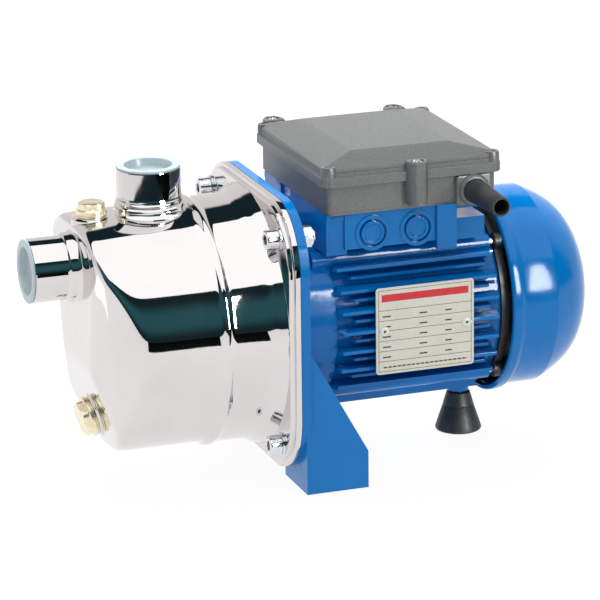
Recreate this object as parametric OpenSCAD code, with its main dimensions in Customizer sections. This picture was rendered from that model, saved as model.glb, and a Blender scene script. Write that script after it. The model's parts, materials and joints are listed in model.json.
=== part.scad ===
// Shallow well jet pump: a stainless ejector casing on a cast bracket,
// close-coupled to a fan-cooled motor with a terminal box on top.
// X runs along the shaft from the suction port to the fan, Z is up, and the origin
// lies midway between the two base bolts, on the ground.

/* [Stance] */
// Height of the shaft above the ground
shaft_h = 99; // [98:0.5:104]
// Distance from the casing joint to the line of the base bolts
bolt_line = 25; // [22:0.5:28]
// Distance between the two base bolts
bolt_pitch = 134; // [124:1:142]
// Radius of the base bolt holes
bolt_hole_r = 5.5; // [4.5:0.1:6]

/* [Pump casing] */
// Side of the square joint flange
flange_w = 180; // [178:1:190]
// Corner radius of the joint flange
flange_r = 43; // [40:1:46]
// Radius of the casing's front barrel
barrel_r = 80; // [79:0.1:80.5]
// Sheet thickness of the casing
sheet = 1.6; // [1.2:0.1:2]
// Half the pitch of the four joint screws
screw_y = 69; // [68:0.5:70]

/* [Ports] */
// Outer radius of both threaded ports
port_r = 21; // [20.5:0.1:21.5]
// Radius of the port thread at its crests
thread_r = 16.6; // [15:0.1:16.8]
// Length of the port thread
thread_len = 18; // [14:1:20]
// Height of the suction port above the shaft
suction_up = 45; // [44:0.5:46]
// Distance from the joint to the delivery port's centre
delivery_back = 72; // [70:0.5:74]

/* [Motor] */
// Outer radius of the motor's plain barrel
motor_r = 58; // [57:0.5:58]
// Radius that the tall cooling fins reach
fin_tip_r = 70; // [69:0.5:70]
// Vertical pitch of the tall fins
fin_pitch = 13.3; // [13:0.1:13.5]
// Number of fan blades
fan_blades = 9; // [5:1:12]
// Number of stator slots
stator_slots = 12; // [6:6:18]

/* [Terminal box] */
// Width of the box across the motor
box_w = 128; // [124:1:130]
// Length of the box along the motor
box_len = 117; // [114:1:118]

/* [Hidden] */

SMOOTH = 96;
HULL_SMOOTH = 32;
eps = 0.01;

flange_half = flange_w / 2;
joint_rim = 4;          // thickness of the flange's outer rim
joint_face = 7;         // the flange's raised screw face, from the joint
plate_t = 6;            // bracket plate behind the joint
washer_t = 1.6;
mouth_r = barrel_r;     // open mouth of the casing

nose_x = -126;          // flat front of the casing
nose_root = -106;       // where the nose leaves the barrel
bead_x = -45.5;         // stiffening bead
neck_ring_r = port_r + 2.6;
port_end_x = -154.6;
port_top_z = 106.5;
lead_in_r = thread_r + 0.65;
lead_in = 6.5;
cap_t = 1.5;
cap_plug_r = lead_in_r - 0.35;

priming_x = -110.7;
priming_seat = 77.6;
priming_stub_r = 6.5;
drain_at = [-114.2, 0, -57.6];
drain_tilt = 15;
drain_stub_r = 9;
drain_pad = 2.4;
screw_gap = 0.06;       // radial running gap of a plug's shank

motor_x0 = 34;
motor_x1 = 150;
fin_x1 = 146;
housing_bore_r = 53;
pedestal_z = 78.5;
pedestal_y = 62;
box_z = 80;
box_split_z = 97.5;
lid_edge_z = 110.7;
lid_top_z = 116;
box_x0 = 27;
box_x1 = box_x0 + box_len;
front_boss_x = 87.7;
rear_boss_x = [36.8, 123.2];
lid_boss_y = 68;
gland_x = 127.3;
gland_z = 87.2;
sleeve_tip_y = -113.5;
sleeve_bore_r = 5;

front_bearing_x = 22;
rear_bearing_x = 142;
bearing_w = 12;
bearing_r = 20;
journal_r = 8.5;
ball_pitch_r = 14.25;
ball_r = 3.4;
core_x0 = 62;
core_x1 = 122;
core_r = 30.5;
shaft_r = 7;
rod_yz = 44;
rod_r = 2.5;
rod_rail_r = 5.3;
rod_rail_len = 112;

cover_x0 = 155;
cover_r = 70;
cover_t = 1.3;
cover_end_x = 224.2;
cover_screw_x = 172.5;
cover_screw_angles = [0, 60, 270];
post_tip_r = 65.6;

foot_x = 143.5;
foot_r = 15.7;
foot_top_z = -72;
rail_z = -62.5;
rail_y = 22;
leg_x0 = 3.1;
leg_x1 = 45.3;
leg_y0 = 45.4;
leg_y1 = 88.3;
leg_wall = 4.5;

plate_x = [57.5, 125.7];
plate_z = [-29.5, 29];
plate_y = -70.6;
rivet_x = [63.3, 120.5];

// Places a child drawn about the shaft, with x measured from the casing joint.
module on_shaft() translate([-bolt_line, 0, shaft_h]) children();

// A straight round bar along X.
module bar_x(x0, x1, r, at = [0, 0]) translate([x0, at[0], at[1]]) rotate([0, 90, 0])
    cylinder(h = x1 - x0, r = r, $fn = SMOOTH);

// A tube along X.
module tube_x(x0, x1, r_out, r_in) difference() {
    bar_x(x0, x1, r_out);
    bar_x(x0 - 1, x1 + 1, r_in);
}

// Turns a list of [radius, x] points about the shaft.
module turned(outline) rotate([0, 90, 0]) rotate_extrude($fn = SMOOTH) polygon(outline);

// A square with round corners, centred.
module round_square(w, d, r) {
    square([w - 2 * r, d], center = true);
    square([w, d - 2 * r], center = true);
    for (sx = [-1, 1], sy = [-1, 1])
        translate([sx * (w / 2 - r), sy * (d / 2 - r)]) circle(r = r, $fn = SMOOTH);
}

// A flange plate square to the shaft.
module flange_plate(x0, x1, half, r) translate([x0, 0, 0]) rotate([0, 90, 0])
    linear_extrude(x1 - x0) round_square(2 * half, 2 * half, r);

// A block with round vertical edges, given by its corners.
module round_block(lo, hi, r) translate([(lo[0] + hi[0]) / 2, (lo[1] + hi[1]) / 2, lo[2]])
    linear_extrude(hi[2] - lo[2]) round_square(hi[0] - lo[0], hi[1] - lo[1], r);

// A plain block given by its corners.
module block(lo, hi) translate(lo) cube(hi - lo);

module hexagon(af, h) cylinder(h = h, r = af / sqrt(3), $fn = 6);

// Repeats a child at the four joint screws.
module at_joint_screws() for (sy = [-1, 1], sz = [-1, 1])
    translate([0, sy * screw_y, sz * screw_y]) rotate([0, 90, 0]) children();

// Repeats a child at the four tie rods.
module at_tie_rods() for (sy = [-1, 1], sz = [-1, 1])
    translate([0, sy * rod_yz, sz * rod_yz]) rotate([0, 90, 0]) children();

// Puts a child drawn along +Z onto the sloping drain boss, pointing out of the casing.
module on_drain() translate(drain_at) rotate([0, -90 - drain_tilt, 0]) children();

// ---------------------------------------------------------------- pump end

// The casing's pressed nose: a tall flat front that falls back to the round barrel.
module nose(inset) {
    front = nose_x + inset;
    hull() {
        bar_x(nose_root, nose_root + 0.2, barrel_r - 0.8 - inset);
        bar_x(nose_root - 6 + inset / 2, nose_root, barrel_r - 5 - inset);
        for (sy = [-1, 1]) {
            corner(front, 10 - inset, sy * 18, 52);
            corner(front, 10 - inset, sy * 13, -2);
            corner(front + 3, 14 - inset, sy * 18, 52);
            corner(front + 3, 14 - inset, sy * 13, -2);
            corner(front + 9, 16 - inset, sy * 14, 60.5);
        }
    }
}

module corner(x, r, y, z) translate([x, y, z]) rotate([0, 90, 0])
    cylinder(h = 0.2, r = r, $fn = HULL_SMOOTH);

// The pressed outline of the casing behind its nose, with the bead and the flare.
function casing_outline(inset) = [
    [0, nose_root], [barrel_r - 0.8 - inset, nose_root], [barrel_r - inset, bead_x - 12],
    [barrel_r - inset, bead_x - 3.5], [barrel_r + 1.2 - inset, bead_x - 2.4],
    [barrel_r + 2.6 - inset, bead_x - 1], [barrel_r + 2.8 - inset, bead_x + 0.4],
    [barrel_r + 2 - inset, bead_x + 2], [barrel_r + 1.3 - inset, bead_x + 4],
    [barrel_r + 1.3 - inset, -21], [barrel_r + 2.2 - inset, -17],
    [barrel_r + 4 - inset, -13], [barrel_r + 5.8 - inset, -joint_face - 1],
    [barrel_r + 5.8 - inset, -joint_face + 1], [0, -joint_face + 1]];

module pump_casing() color("gainsboro") on_shaft() difference() {
    union() {
        nose(0);
        turned(casing_outline(0));
        flange_plate(-joint_rim, 0, flange_half, flange_r);
        flange_plate(-joint_face, -joint_rim + eps, flange_half - 3, flange_r - 1.5);
        bar_x(nose_x - 4, nose_x + 6, neck_ring_r, [0, suction_up]);
        translate([-delivery_back, 0, 70]) cylinder(h = 14, r = neck_ring_r - 1, $fn = SMOOTH);
        translate([-delivery_back, 0, 70]) cylinder(h = 11, r = neck_ring_r, $fn = SMOOTH);
        translate([priming_x, 0, 70]) cylinder(h = priming_seat - 70, r = 11.5, $fn = SMOOTH);
        on_drain() translate([0, 0, -6]) cylinder(h = 6 + drain_pad, r = 15, $fn = SMOOTH);
    }
    difference() {
        union() {
            nose(sheet);
            turned(casing_outline(sheet));
        }
        translate([priming_x, 0, 68]) cylinder(h = 20, r = 11.5, $fn = SMOOTH);
        on_drain() translate([0, 0, -9]) cylinder(h = 20, r = 13, $fn = SMOOTH);
        bar_x(nose_x - 5, nose_x + 4, neck_ring_r, [0, suction_up]);
    }
    bar_x(-joint_face - 9, 1, mouth_r - sheet / 2);
    bar_x(nose_x - 5, nose_x + 12, port_r, [0, suction_up]);
    translate([-delivery_back, 0, 60]) cylinder(h = 30, r = port_r, $fn = SMOOTH);
    translate([priming_x, 0, 60]) cylinder(h = 20, r = priming_stub_r + screw_gap, $fn = SMOOTH);
    translate([priming_x, 0, priming_seat]) cylinder(h = 20, r = 11.5, $fn = SMOOTH);
    on_drain() translate([0, 0, -20]) cylinder(h = 40, r = drain_stub_r + screw_gap, $fn = SMOOTH);
    at_joint_screws() translate([0, 0, -20]) cylinder(h = 21, r = 4.5, $fn = SMOOTH);
}

// A threaded port, drawn along +Z with its mouth at z = 0.
module port(depth) difference() {
    translate([0, 0, -depth]) cylinder(h = depth, r = port_r, $fn = SMOOTH);
    translate([0, 0, -depth - 1]) cylinder(h = depth + 2, r = thread_r - 1.6, $fn = SMOOTH);
    translate([0, 0, -lead_in - thread_len]) cylinder(h = thread_len + 1, r = thread_r, $fn = SMOOTH);
    translate([0, 0, -lead_in]) cylinder(h = lead_in + 1, r = lead_in_r, $fn = SMOOTH);
}

// A thread protector: a thin dished cap that plugs into a port's lead-in.
module cap() difference() {
    union() {
        cylinder(h = cap_t, r = port_r, $fn = SMOOTH);
        translate([0, 0, -lead_in + 1]) cylinder(h = lead_in, r = cap_plug_r, $fn = SMOOTH);
    }
    translate([0, 0, -lead_in + 2.2]) cylinder(h = lead_in + cap_t, r = cap_plug_r - 1.6, $fn = SMOOTH);
}

module at_suction() translate([port_end_x, 0, suction_up]) rotate([0, -90, 0]) children();
module at_delivery() translate([-delivery_back, 0, port_top_z]) children();

module suction_port() color("silver") on_shaft() at_suction() port(33.6);
module delivery_port() color("silver") on_shaft() at_delivery() port(31);
module suction_cap() color("lightcyan") on_shaft() at_suction() cap();
module delivery_cap() color("lightcyan") on_shaft() at_delivery() cap();

// A brass plug with a collar and a hexagon head, drawn along +Z from its seat.
module plug(shank_r, shank, collar_r, collar, af, head) {
    translate([0, 0, -shank]) cylinder(h = shank + eps, r = shank_r, $fn = SMOOTH);
    cylinder(h = collar, r = collar_r, $fn = SMOOTH);
    translate([0, 0, collar]) intersection() {
        hexagon(af, head);
        cylinder(h = head, r1 = af / 2 + 3.5, r2 = af / 2 + 0.2, $fn = SMOOTH);
    }
}

module sealing_washer(r_out, r_in, t) difference() {
    cylinder(h = t, r = r_out, $fn = SMOOTH);
    translate([0, 0, -1]) cylinder(h = t + 2, r = r_in, $fn = SMOOTH);
}

module priming_plug() color("khaki") on_shaft()
    translate([priming_x, 0, priming_seat + 1.4]) plug(priming_stub_r, 10, 10, 3.4, 16.5, 4.4);
module priming_washer() color("darkkhaki") on_shaft()
    translate([priming_x, 0, priming_seat]) sealing_washer(9.6, priming_stub_r, 1.4);
module drain_plug() color("khaki") on_shaft() on_drain()
    translate([0, 0, drain_pad + 1.2]) plug(drain_stub_r, 11, 13.4, 2.6, 22, 5);
module drain_washer() color("darkkhaki") on_shaft() on_drain()
    translate([0, 0, drain_pad]) sealing_washer(12.8, drain_stub_r, 1.2);

module casing_gasket() color("dimgray") on_shaft() tube_x(0, 2, 87, 84);

module seal_plate() color("silver") on_shaft() difference() {
    union() {
        bar_x(-2.5, 0, mouth_r - sheet);
        bar_x(-7, 4, 18);
    }
    bar_x(-8, 3, 13);
    bar_x(0, 6, 9.5);
}

// The moulded ejector: a suction chamber and the tube that holds the venturi.
module ejector_body() color("beige") on_shaft() difference() {
    union() {
        block([-121, -17, -17], [-104, 17, 66]);
        bar_x(-105, -58, 15);
        bar_x(-60, -56, 24);
    }
    block([-118.5, -14.5, -14.5], [-106.5, 14.5, 63.5]);
    bar_x(-125, -117, 12, [0, suction_up]);
    bar_x(-125, -117, 8);
    bar_x(-108, -50, 12);
}

module nozzle() color("goldenrod") on_shaft()
    turned([[6, -121], [8, -121], [8, -112], [7, -108], [4.6, -99], [3.2, -99], [5, -110]]);

module venturi_tube() color("wheat") on_shaft() turned([[9, -98], [12, -98], [12, -56.5],
    [10, -56.5], [5, -84], [5, -90]]);

module diffuser() color("beige") on_shaft() difference() {
    union() {
        bar_x(-56, -52, 74);
        tube_x(-53, -26, 74, 71);
    }
    bar_x(-57, -51, 16);
    for (a = [0:60:300]) rotate([a, 0, 0]) block([-48, -10, 60], [-30, 10, 80]);
}

// One backward-curved blade as a ring segment in the plane across the shaft.
module impeller_blade() linear_extrude(13.4) intersection() {
    translate([0, -20]) difference() {
        circle(r = 34, $fn = SMOOTH);
        circle(r = 31.8, $fn = SMOOTH);
    }
    difference() {
        translate([0, -60]) square([60, 120]);
        circle(r = 23, $fn = SMOOTH);
    }
    circle(r = 57, $fn = SMOOTH);
}

module impeller() color("tan") on_shaft() difference() {
    union() {
        bar_x(-29, -26, 58);
        tube_x(-45, -42, 58, 19);
        tube_x(-51.4, -44, 21.5, 19);
        bar_x(-48, -24, 11);
        for (a = [0:60:300]) rotate([a, 0, 0]) translate([-42.2, 0, 0]) rotate([0, 90, 0])
            impeller_blade();
    }
    bar_x(-52, -20, 6);
    block([-46, -1.5, 0], [-28, 1.5, 7.5]);
}

module impeller_nut() color("silver") on_shaft() difference() {
    translate([-53, 0, 0]) rotate([0, 90, 0]) hexagon(16, 5);
    bar_x(-54, -47, 5);
}

module impeller_key() color("silver") on_shaft() block([-44, -1.5, 4.5], [-30, 1.5, 7.5]);

module seal_seat() color("white") on_shaft() tube_x(-5, 3, 13, 7.6);
module seal_ring() color("dimgray") on_shaft() tube_x(-9, -5.1, 11.5, shaft_r);
module seal_collar() color("gray") on_shaft() tube_x(-24, -21.5, 12.5, shaft_r);

// A coil swept from rings of points along a helix about the shaft.
module seal_spring() color("silver") on_shaft() {
    turns = 4;
    per_turn = 20;
    sides = 8;
    wire_r = 0.8;
    coil_r = 10;
    rings = turns * per_turn;
    span = 10.4;
    points = [for (i = [0:rings], k = [0:sides - 1])
        let (a = 360 * i / per_turn, b = 360 * k / sides, r = coil_r + wire_r * cos(b))
        [-20.6 + span * i / rings + wire_r * sin(b), r * cos(a), r * sin(a)]];
    walls = [for (i = [0:rings - 1], k = [0:sides - 1])
        let (n = (k + 1) % sides)
        [i * sides + k, i * sides + n, (i + 1) * sides + n, (i + 1) * sides + k]];
    ends = [[for (k = [sides - 1:-1:0]) k], [for (k = [0:sides - 1]) rings * sides + k]];
    polyhedron(points, concat(walls, ends));
}

module casing_screws() color("lightgray") on_shaft() at_joint_screws() difference() {
    translate([0, 0, -joint_face - washer_t - 8]) union() {
        cylinder(h = 8, r = 6.5, $fn = SMOOTH);
        translate([0, 0, 7]) cylinder(h = 24.6, r = 4, $fn = SMOOTH);
    }
    translate([0, 0, -joint_face - washer_t - 9]) hexagon(6, 5);
}

module casing_washers() color("lightgray") on_shaft() at_joint_screws()
    for (z = [-joint_face - washer_t, plate_t]) translate([0, 0, z]) sealing_washer(7.5, 4.2, washer_t);

module casing_nuts() color("lightgray") on_shaft() at_joint_screws()
    translate([0, 0, plate_t + washer_t]) difference() {
        hexagon(13, 6.5);
        translate([0, 0, -1]) cylinder(h = 9, r = 4, $fn = SMOOTH);
    }

// ------------------------------------------------------------------ bracket

// One leg: a front wall, a triangular outer cheek and a foot with its bolt hole.
module leg() {
    block([leg_x0, leg_y0, -shaft_h], [leg_x0 + leg_wall, leg_y1, -50]);
    block([leg_x0, leg_y0, -shaft_h], [leg_x1, leg_y1, -shaft_h + 6]);
    translate([0, leg_y1, 0]) rotate([90, 0, 0]) linear_extrude(leg_wall)
        polygon([[leg_x0, -3], [plate_t, -3], [leg_x1, -74], [leg_x1, -shaft_h], [leg_x0, -shaft_h]]);
    translate([0, leg_y0 + leg_wall, 0]) rotate([90, 0, 0]) linear_extrude(leg_wall)
        polygon([[leg_x0, -66], [plate_t, -66], [leg_x1, -88], [leg_x1, -shaft_h], [leg_x0, -shaft_h]]);
}

module bracket() color([0.0, 0.42, 0.72]) on_shaft() difference() {
    union() {
        flange_plate(0, plate_t, flange_half, flange_r);
        tube_x(plate_t - 1, motor_x0, 62, 55);
        bar_x(front_bearing_x - 2, front_bearing_x + 4, 56);
        bar_x(front_bearing_x - 2, motor_x0, 26);
        at_tie_rods() translate([0, 0, motor_x0 - 12]) cylinder(h = 12, r = 6, $fn = SMOOTH);
        leg();
        mirror([0, 1, 0]) leg();
    }
    bar_x(-1, plate_t + 1, 20);
    tube_x(-1, 2, 87, 84);
    bar_x(front_bearing_x - 3, motor_x0 + 1, 14);
    bar_x(front_bearing_x, motor_x0 + 1, bearing_r);
    at_joint_screws() translate([0, 0, -1]) cylinder(h = 20, r = 4.5, $fn = SMOOTH);
    at_joint_screws() translate([0, 0, plate_t]) cylinder(h = 20, r = 8.6, $fn = SMOOTH);
    at_tie_rods() translate([0, 0, motor_x0 - 9]) cylinder(h = 12, r = rod_r, $fn = SMOOTH);
    for (s = [-1, 1]) translate([bolt_line, s * bolt_pitch / 2, -shaft_h - 1])
        cylinder(h = 12, r = bolt_hole_r, $fn = SMOOTH);
    block([plate_t + 3, -14, -64], [front_bearing_x - 4, 14, -50]);
}

module slinger() color("dimgray") on_shaft() tube_x(11, 14, 15, shaft_r);

// ------------------------------------------------------------- shaft and bearings

module shaft() color("silver") on_shaft() difference() {
    union() {
        bar_x(-54, -47.9, 5);
        bar_x(-48, -23.9, 6);
        bar_x(-24, front_bearing_x - 2, shaft_r);
        bar_x(front_bearing_x - 2.1, motor_x0 + eps, journal_r);
        bar_x(motor_x0, rear_bearing_x, 11);
        bar_x(core_x0, core_x1, 12);
        bar_x(rear_bearing_x - eps, rear_bearing_x + bearing_w, journal_r);
        bar_x(rear_bearing_x + bearing_w - eps, 203, shaft_r);
    }
    block([-44, -1.5, 4.5], [-30, 1.5, 9]);
}

module ball_race(x0, r_out, r_in, groove) translate([x0, 0, 0]) difference() {
    tube_x(0, bearing_w, r_out, r_in);
    translate([bearing_w / 2, 0, 0]) rotate([0, 90, 0]) rotate_extrude($fn = SMOOTH)
        translate([ball_pitch_r, 0]) circle(r = groove, $fn = SMOOTH);
}

module front_bearing_outer() color("silver") on_shaft()
    ball_race(front_bearing_x, bearing_r, 16.6, ball_r + 0.35);
module front_bearing_inner() color("silver") on_shaft()
    ball_race(front_bearing_x, 11.8, journal_r, ball_r + 0.05);
module rear_bearing_outer() color("silver") on_shaft()
    ball_race(rear_bearing_x, bearing_r, 16.6, ball_r + 0.35);
module rear_bearing_inner() color("silver") on_shaft()
    ball_race(rear_bearing_x, 11.8, journal_r, ball_r + 0.05);

module bearing_balls() color("white") on_shaft()
    for (x = [front_bearing_x, rear_bearing_x], a = [0:45:315]) rotate([a, 0, 0])
        translate([x + bearing_w / 2, 0, ball_pitch_r]) sphere(r = ball_r, $fn = HULL_SMOOTH);

module preload_washer() color("silver") on_shaft()
    tube_x(rear_bearing_x + bearing_w, rear_bearing_x + bearing_w + 1.2, 19.6, 15);

// -------------------------------------------------------------------- motor

module rotor_core() color("gray") on_shaft() tube_x(core_x0, core_x1, core_r, 12);
module rotor_rings() color("lightgray") on_shaft() {
    tube_x(core_x0 - 6, core_x0, 29, 18);
    tube_x(core_x1, core_x1 + 6, 29, 18);
}

module stator_core() color("slategray") on_shaft() difference() {
    tube_x(core_x0, core_x1, housing_bore_r, 31);
    for (i = [0:stator_slots - 1]) rotate([i * 360 / stator_slots, 0, 0])
        block([core_x0 - 1, -2, 25], [core_x1 + 1, 2, 44]);
}

module stator_windings() color("sienna") on_shaft() {
    for (x = [core_x0 - 16, core_x1]) turned([[36, x + 3], [39, x], [46, x], [50, x + 4], [50, x + 12],
        [46, x + 16], [36, x + 16]]);
    for (i = [0:stator_slots - 1]) rotate([i * 360 / stator_slots, 0, 0])
        block([core_x0 - 1, -1.8, 37.5], [core_x1 + 1, 1.8, 43.8]);
}

// Flat horizontal cooling fins on one side of the barrel.
module side_fins() {
    for (i = [-3:3]) fin(i * fin_pitch, fin_tip_r, 2.2, motor_x0, fin_x1);
    for (i = [-3:2]) fin((i + 0.5) * fin_pitch, fin_tip_r - 4, 1.8, motor_x0 + 10, fin_x1 - 5);
}

// One fin at height z, with its front end sloped back.
module fin(z, tip_r, t, x0, x1) {
    root = sqrt(motor_r * motor_r - z * z) - 2;
    tip = sqrt(tip_r * tip_r - z * z);
    translate([0, 0, z - t / 2]) linear_extrude(t)
        polygon([[x0 + 4, root], [x0, tip - 3], [x0 + 2, tip], [x1 - 1.5, tip], [x1, tip - 3], [x1, root]]);
}

// Repeats a child at the four blind cable entries, pointing out of the pedestal.
module at_knockouts() for (s = [-1, 1], x = [59, 89.7])
    translate([x, s * pedestal_y, 64.3]) rotate([-s * 90, 0, 0]) children();

// The seat of the terminal box: a set-back end, the main panel, a proud rib and a low block.
module pedestal() {
    block([28, -60, 51], [42, 60, pedestal_z]);
    block([40, -pedestal_y, 54.5], [104, pedestal_y, pedestal_z]);
    block([102.8, -pedestal_y - 2.6, 49], [116.5, pedestal_y + 2.6, pedestal_z]);
    block([116, -59, 52.5], [138, 59, 67]);
    block([28, -61, 74], [140, 61, pedestal_z]);
    at_knockouts() translate([0, 0, -14]) cylinder(h = 14.8, r = 11.8, $fn = SMOOTH);
}

module motor_housing() color([0.0, 0.4, 0.7]) on_shaft() difference() {
    union() {
        bar_x(motor_x0, motor_x1, motor_r);
        side_fins();
        mirror([0, 1, 0]) side_fins();
        pedestal();
        for (x = rivet_x) translate([x, 0, 0]) rotate([90, 0, 0])
            cylinder(h = -plate_y, r = 4, $fn = SMOOTH);
        block([motor_x0, -rail_y, rail_z], [motor_x1, rail_y, -46]);
        at_tie_rods() translate([0, 0, motor_x0]) cylinder(h = rod_rail_len, r = rod_rail_r, $fn = SMOOTH);
        translate([foot_x, 0, foot_top_z + 1]) cylinder(h = 14, r = 7, $fn = SMOOTH);
    }
    bar_x(motor_x0 - 1, motor_x1 + 1, housing_bore_r);
    bar_x(20, motor_x0, 63);
    translate([motor_x1 + 1, -rail_y - 1, rail_z - 1]) rotate([0, -48, 0]) cube([12, 2 * rail_y + 2, 6]);
    block([42, -50, 62], [114, 50, pedestal_z + 1]);
    block([27, 9, 70], [29.5, 28, pedestal_z + 1]);
    at_tie_rods() translate([0, 0, motor_x0 - 2]) cylinder(h = 130, r = rod_r + 0.6, $fn = SMOOTH);
    at_knockouts() translate([0, 0, -1.5]) cylinder(h = 5, r = 9.4, $fn = SMOOTH);
    for (x = rivet_x) translate([x, -62, 0]) rotate([90, 0, 0])
        cylinder(h = 12, r = 1.4, $fn = SMOOTH);
    translate([foot_x, 0, -80]) cylinder(h = 23, r = 4, $fn = SMOOTH);
}

module knockout_plugs() color([0.0, 0.36, 0.66]) on_shaft()
    at_knockouts() translate([0, 0, -1.5]) difference() {
        cylinder(h = 2.5, r = 7.9, $fn = SMOOTH);
        translate([0, 0, 1.6]) cylinder(h = 2, r = 5.9, $fn = SMOOTH);
    }

module rear_shield() color([0.12, 0.14, 0.18]) on_shaft() difference() {
    union() {
        bar_x(motor_x1, motor_x1 + 5, 61);
        bar_x(rear_bearing_x - 1, rear_bearing_x + bearing_w + 4, 26);
        at_tie_rods() translate([0, 0, motor_x1]) cylinder(h = 5, r = 5.6, $fn = SMOOTH);
        for (a = cover_screw_angles) rotate([a, 0, 0])
            block([motor_x1 + 1, 52, -5], [cover_screw_x + 2.8, post_tip_r, 5]);
    }
    bar_x(rear_bearing_x - 2, rear_bearing_x + bearing_w + 1.2, bearing_r);
    bar_x(rear_bearing_x, 170, 9.5);
    for (a = [0:45:315]) rotate([a + 22.5, 0, 0]) bar_x(motor_x1 - 1, motor_x1 + 6, 6, [40, 0]);
    for (a = cover_screw_angles) rotate([a, 0, 0]) translate([cover_screw_x, 56, 0]) rotate([-90, 0, 0])
        cylinder(h = 12, r = 1.75, $fn = SMOOTH);
    at_tie_rods() translate([0, 0, motor_x1 - 1]) cylinder(h = 8, r = rod_r + 0.3, $fn = SMOOTH);
}

module tie_rods() color("silver") on_shaft() at_tie_rods() {
    translate([0, 0, motor_x0 - 9]) cylinder(h = motor_x1 - motor_x0 + 19, r = rod_r, $fn = SMOOTH);
    translate([0, 0, motor_x1 + 5]) hexagon(8, 4);
}

module fan() color([0.1, 0.1, 0.12]) on_shaft() difference() {
    union() {
        bar_x(176, 196, 12);
        bar_x(176, 178.5, 55);
        for (i = [0:fan_blades - 1]) rotate([i * 360 / fan_blades, 0, 0])
            block([178, 10, -1], [197, 57, 1]);
    }
    bar_x(170, 210, shaft_r);
}

module fan_clip() color("silver") on_shaft() tube_x(196, 197.4, 10, shaft_r);

// The fan cover's outer skin: a rolled rim, a drum and a blunt cone.
function cover_skin(t) = [
    [cover_r - t, cover_x0], [cover_r - t, 163], [67.6 - t, 165], [67 - t, 187.8 - 0.3 * t],
    [60.6 - t, 200.6 - 0.4 * t], [56.2 - t, 207.2 - 0.5 * t], [50.7 - t, 212.5 - 0.6 * t],
    [44.6 - t, 216.7 - 0.8 * t], [37.6 - t, 220 - 0.9 * t], [29 - t, 222.4 - t],
    [20 - t, 223.8 - t], [12, cover_end_x - t], [0, cover_end_x - t]];

module fan_cover() color([0.0, 0.4, 0.72]) on_shaft() difference() {
    turned(concat([[0, cover_x0]], cover_skin(0)));
    turned(concat([[0, cover_x0 - 1], [cover_r - cover_t, cover_x0 - 1]], cover_skin(cover_t)));
    for (i = [0:15]) rotate([i * 22.5, 0, 0]) block([212, 14, -1.6], [230, 34, 1.6]);
    for (a = cover_screw_angles) rotate([a, 0, 0]) translate([cover_screw_x, 60, 0]) rotate([-90, 0, 0])
        cylinder(h = 12, r = 2.2, $fn = SMOOTH);
}

module fan_cover_screws() color("lightgray") on_shaft()
    for (a = cover_screw_angles) rotate([a, 0, 0]) translate([cover_screw_x, 0, 0]) rotate([-90, 0, 0]) {
        translate([0, 0, 57]) cylinder(h = 11, r = 1.75, $fn = SMOOTH);
        translate([0, 0, 67.7]) difference() {
            hexagon(7, 2.6);
            translate([-3, -0.5, 1.6]) cube([6, 1, 2]);
        }
    }

// ------------------------------------------------------------- terminal box

module box_gasket() color([0.3, 0.32, 0.33]) on_shaft() difference() {
    round_block([box_x0 + 1, -box_w / 2 + 0.5, pedestal_z], [box_x1 - 1, box_w / 2 - 0.5, box_z], 4);
    block([42, -50, pedestal_z - 1], [114, 50, box_z + 1]);
}

// Repeats a child at the three lid screws.
module at_lid_screws() for (p = [[front_boss_x, -lid_boss_y], [rear_boss_x[0], lid_boss_y],
    [rear_boss_x[1], lid_boss_y]]) translate([p[0], p[1], 0]) children();

module terminal_box() color([0.36, 0.38, 0.39]) on_shaft() difference() {
    union() {
        round_block([box_x0, -box_w / 2, box_z], [box_x1, box_w / 2, box_split_z], 4);
        at_lid_screws() translate([0, 0, box_z + 2])
            cylinder(h = box_split_z - box_z - 2, r = 6.6, $fn = SMOOTH);
    }
    difference() {
        round_block([box_x0 + 2.5, -box_w / 2 + 2.5, box_z + 2.5],
            [box_x1 - 2.5, box_w / 2 - 2.5, box_split_z + 1], 2);
        at_lid_screws() translate([0, 0, box_z]) cylinder(h = 30, r = 6.6, $fn = SMOOTH);
    }
    at_lid_screws() translate([0, 0, box_z + 6]) cylinder(h = 30, r = 1.8, $fn = SMOOTH);
    translate([gland_x, -box_w / 2 + 5, gland_z]) rotate([90, 0, 0])
        cylinder(h = 9, r = sleeve_bore_r + 0.8, $fn = SMOOTH);
    block([50, -30, box_z - 1], [80, 0, box_z + 4]);
}

module terminal_box_lid() color([0.42, 0.44, 0.45]) on_shaft() difference() {
    union() {
        round_block([box_x0 - 3.5, -box_w / 2 - 3, box_split_z], [box_x1 + 2, box_w / 2 + 3, 104.2], 5);
        round_block([box_x0 - 1.6, -box_w / 2 - 1.8, 104], [box_x1 - 1, box_w / 2 + 1.8, lid_edge_z - 1], 4);
        hull() {
            block([box_x0 - 1.4, -box_w / 2 - 1.6, lid_edge_z - 1.2],
                [box_x1 - 1.2, box_w / 2 + 1.6, lid_edge_z]);
            block([50, -45.6, lid_top_z - 0.4], [118, 45.6, lid_top_z]);
        }
        at_lid_screws() translate([0, 0, box_split_z]) cylinder(h = 14, r = 6.8, $fn = SMOOTH);
    }
    difference() {
        block([box_x0 + 1.5, -box_w / 2 + 1.5, box_split_z - 1],
            [box_x1 - 4, box_w / 2 - 1.5, lid_edge_z - 2.6]);
        at_lid_screws() translate([0, 0, box_z]) cylinder(h = 60, r = 6.8, $fn = SMOOTH);
    }
    at_lid_screws() translate([0, 0, box_split_z - 1]) cylinder(h = 30, r = 2.2, $fn = SMOOTH);
}

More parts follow.
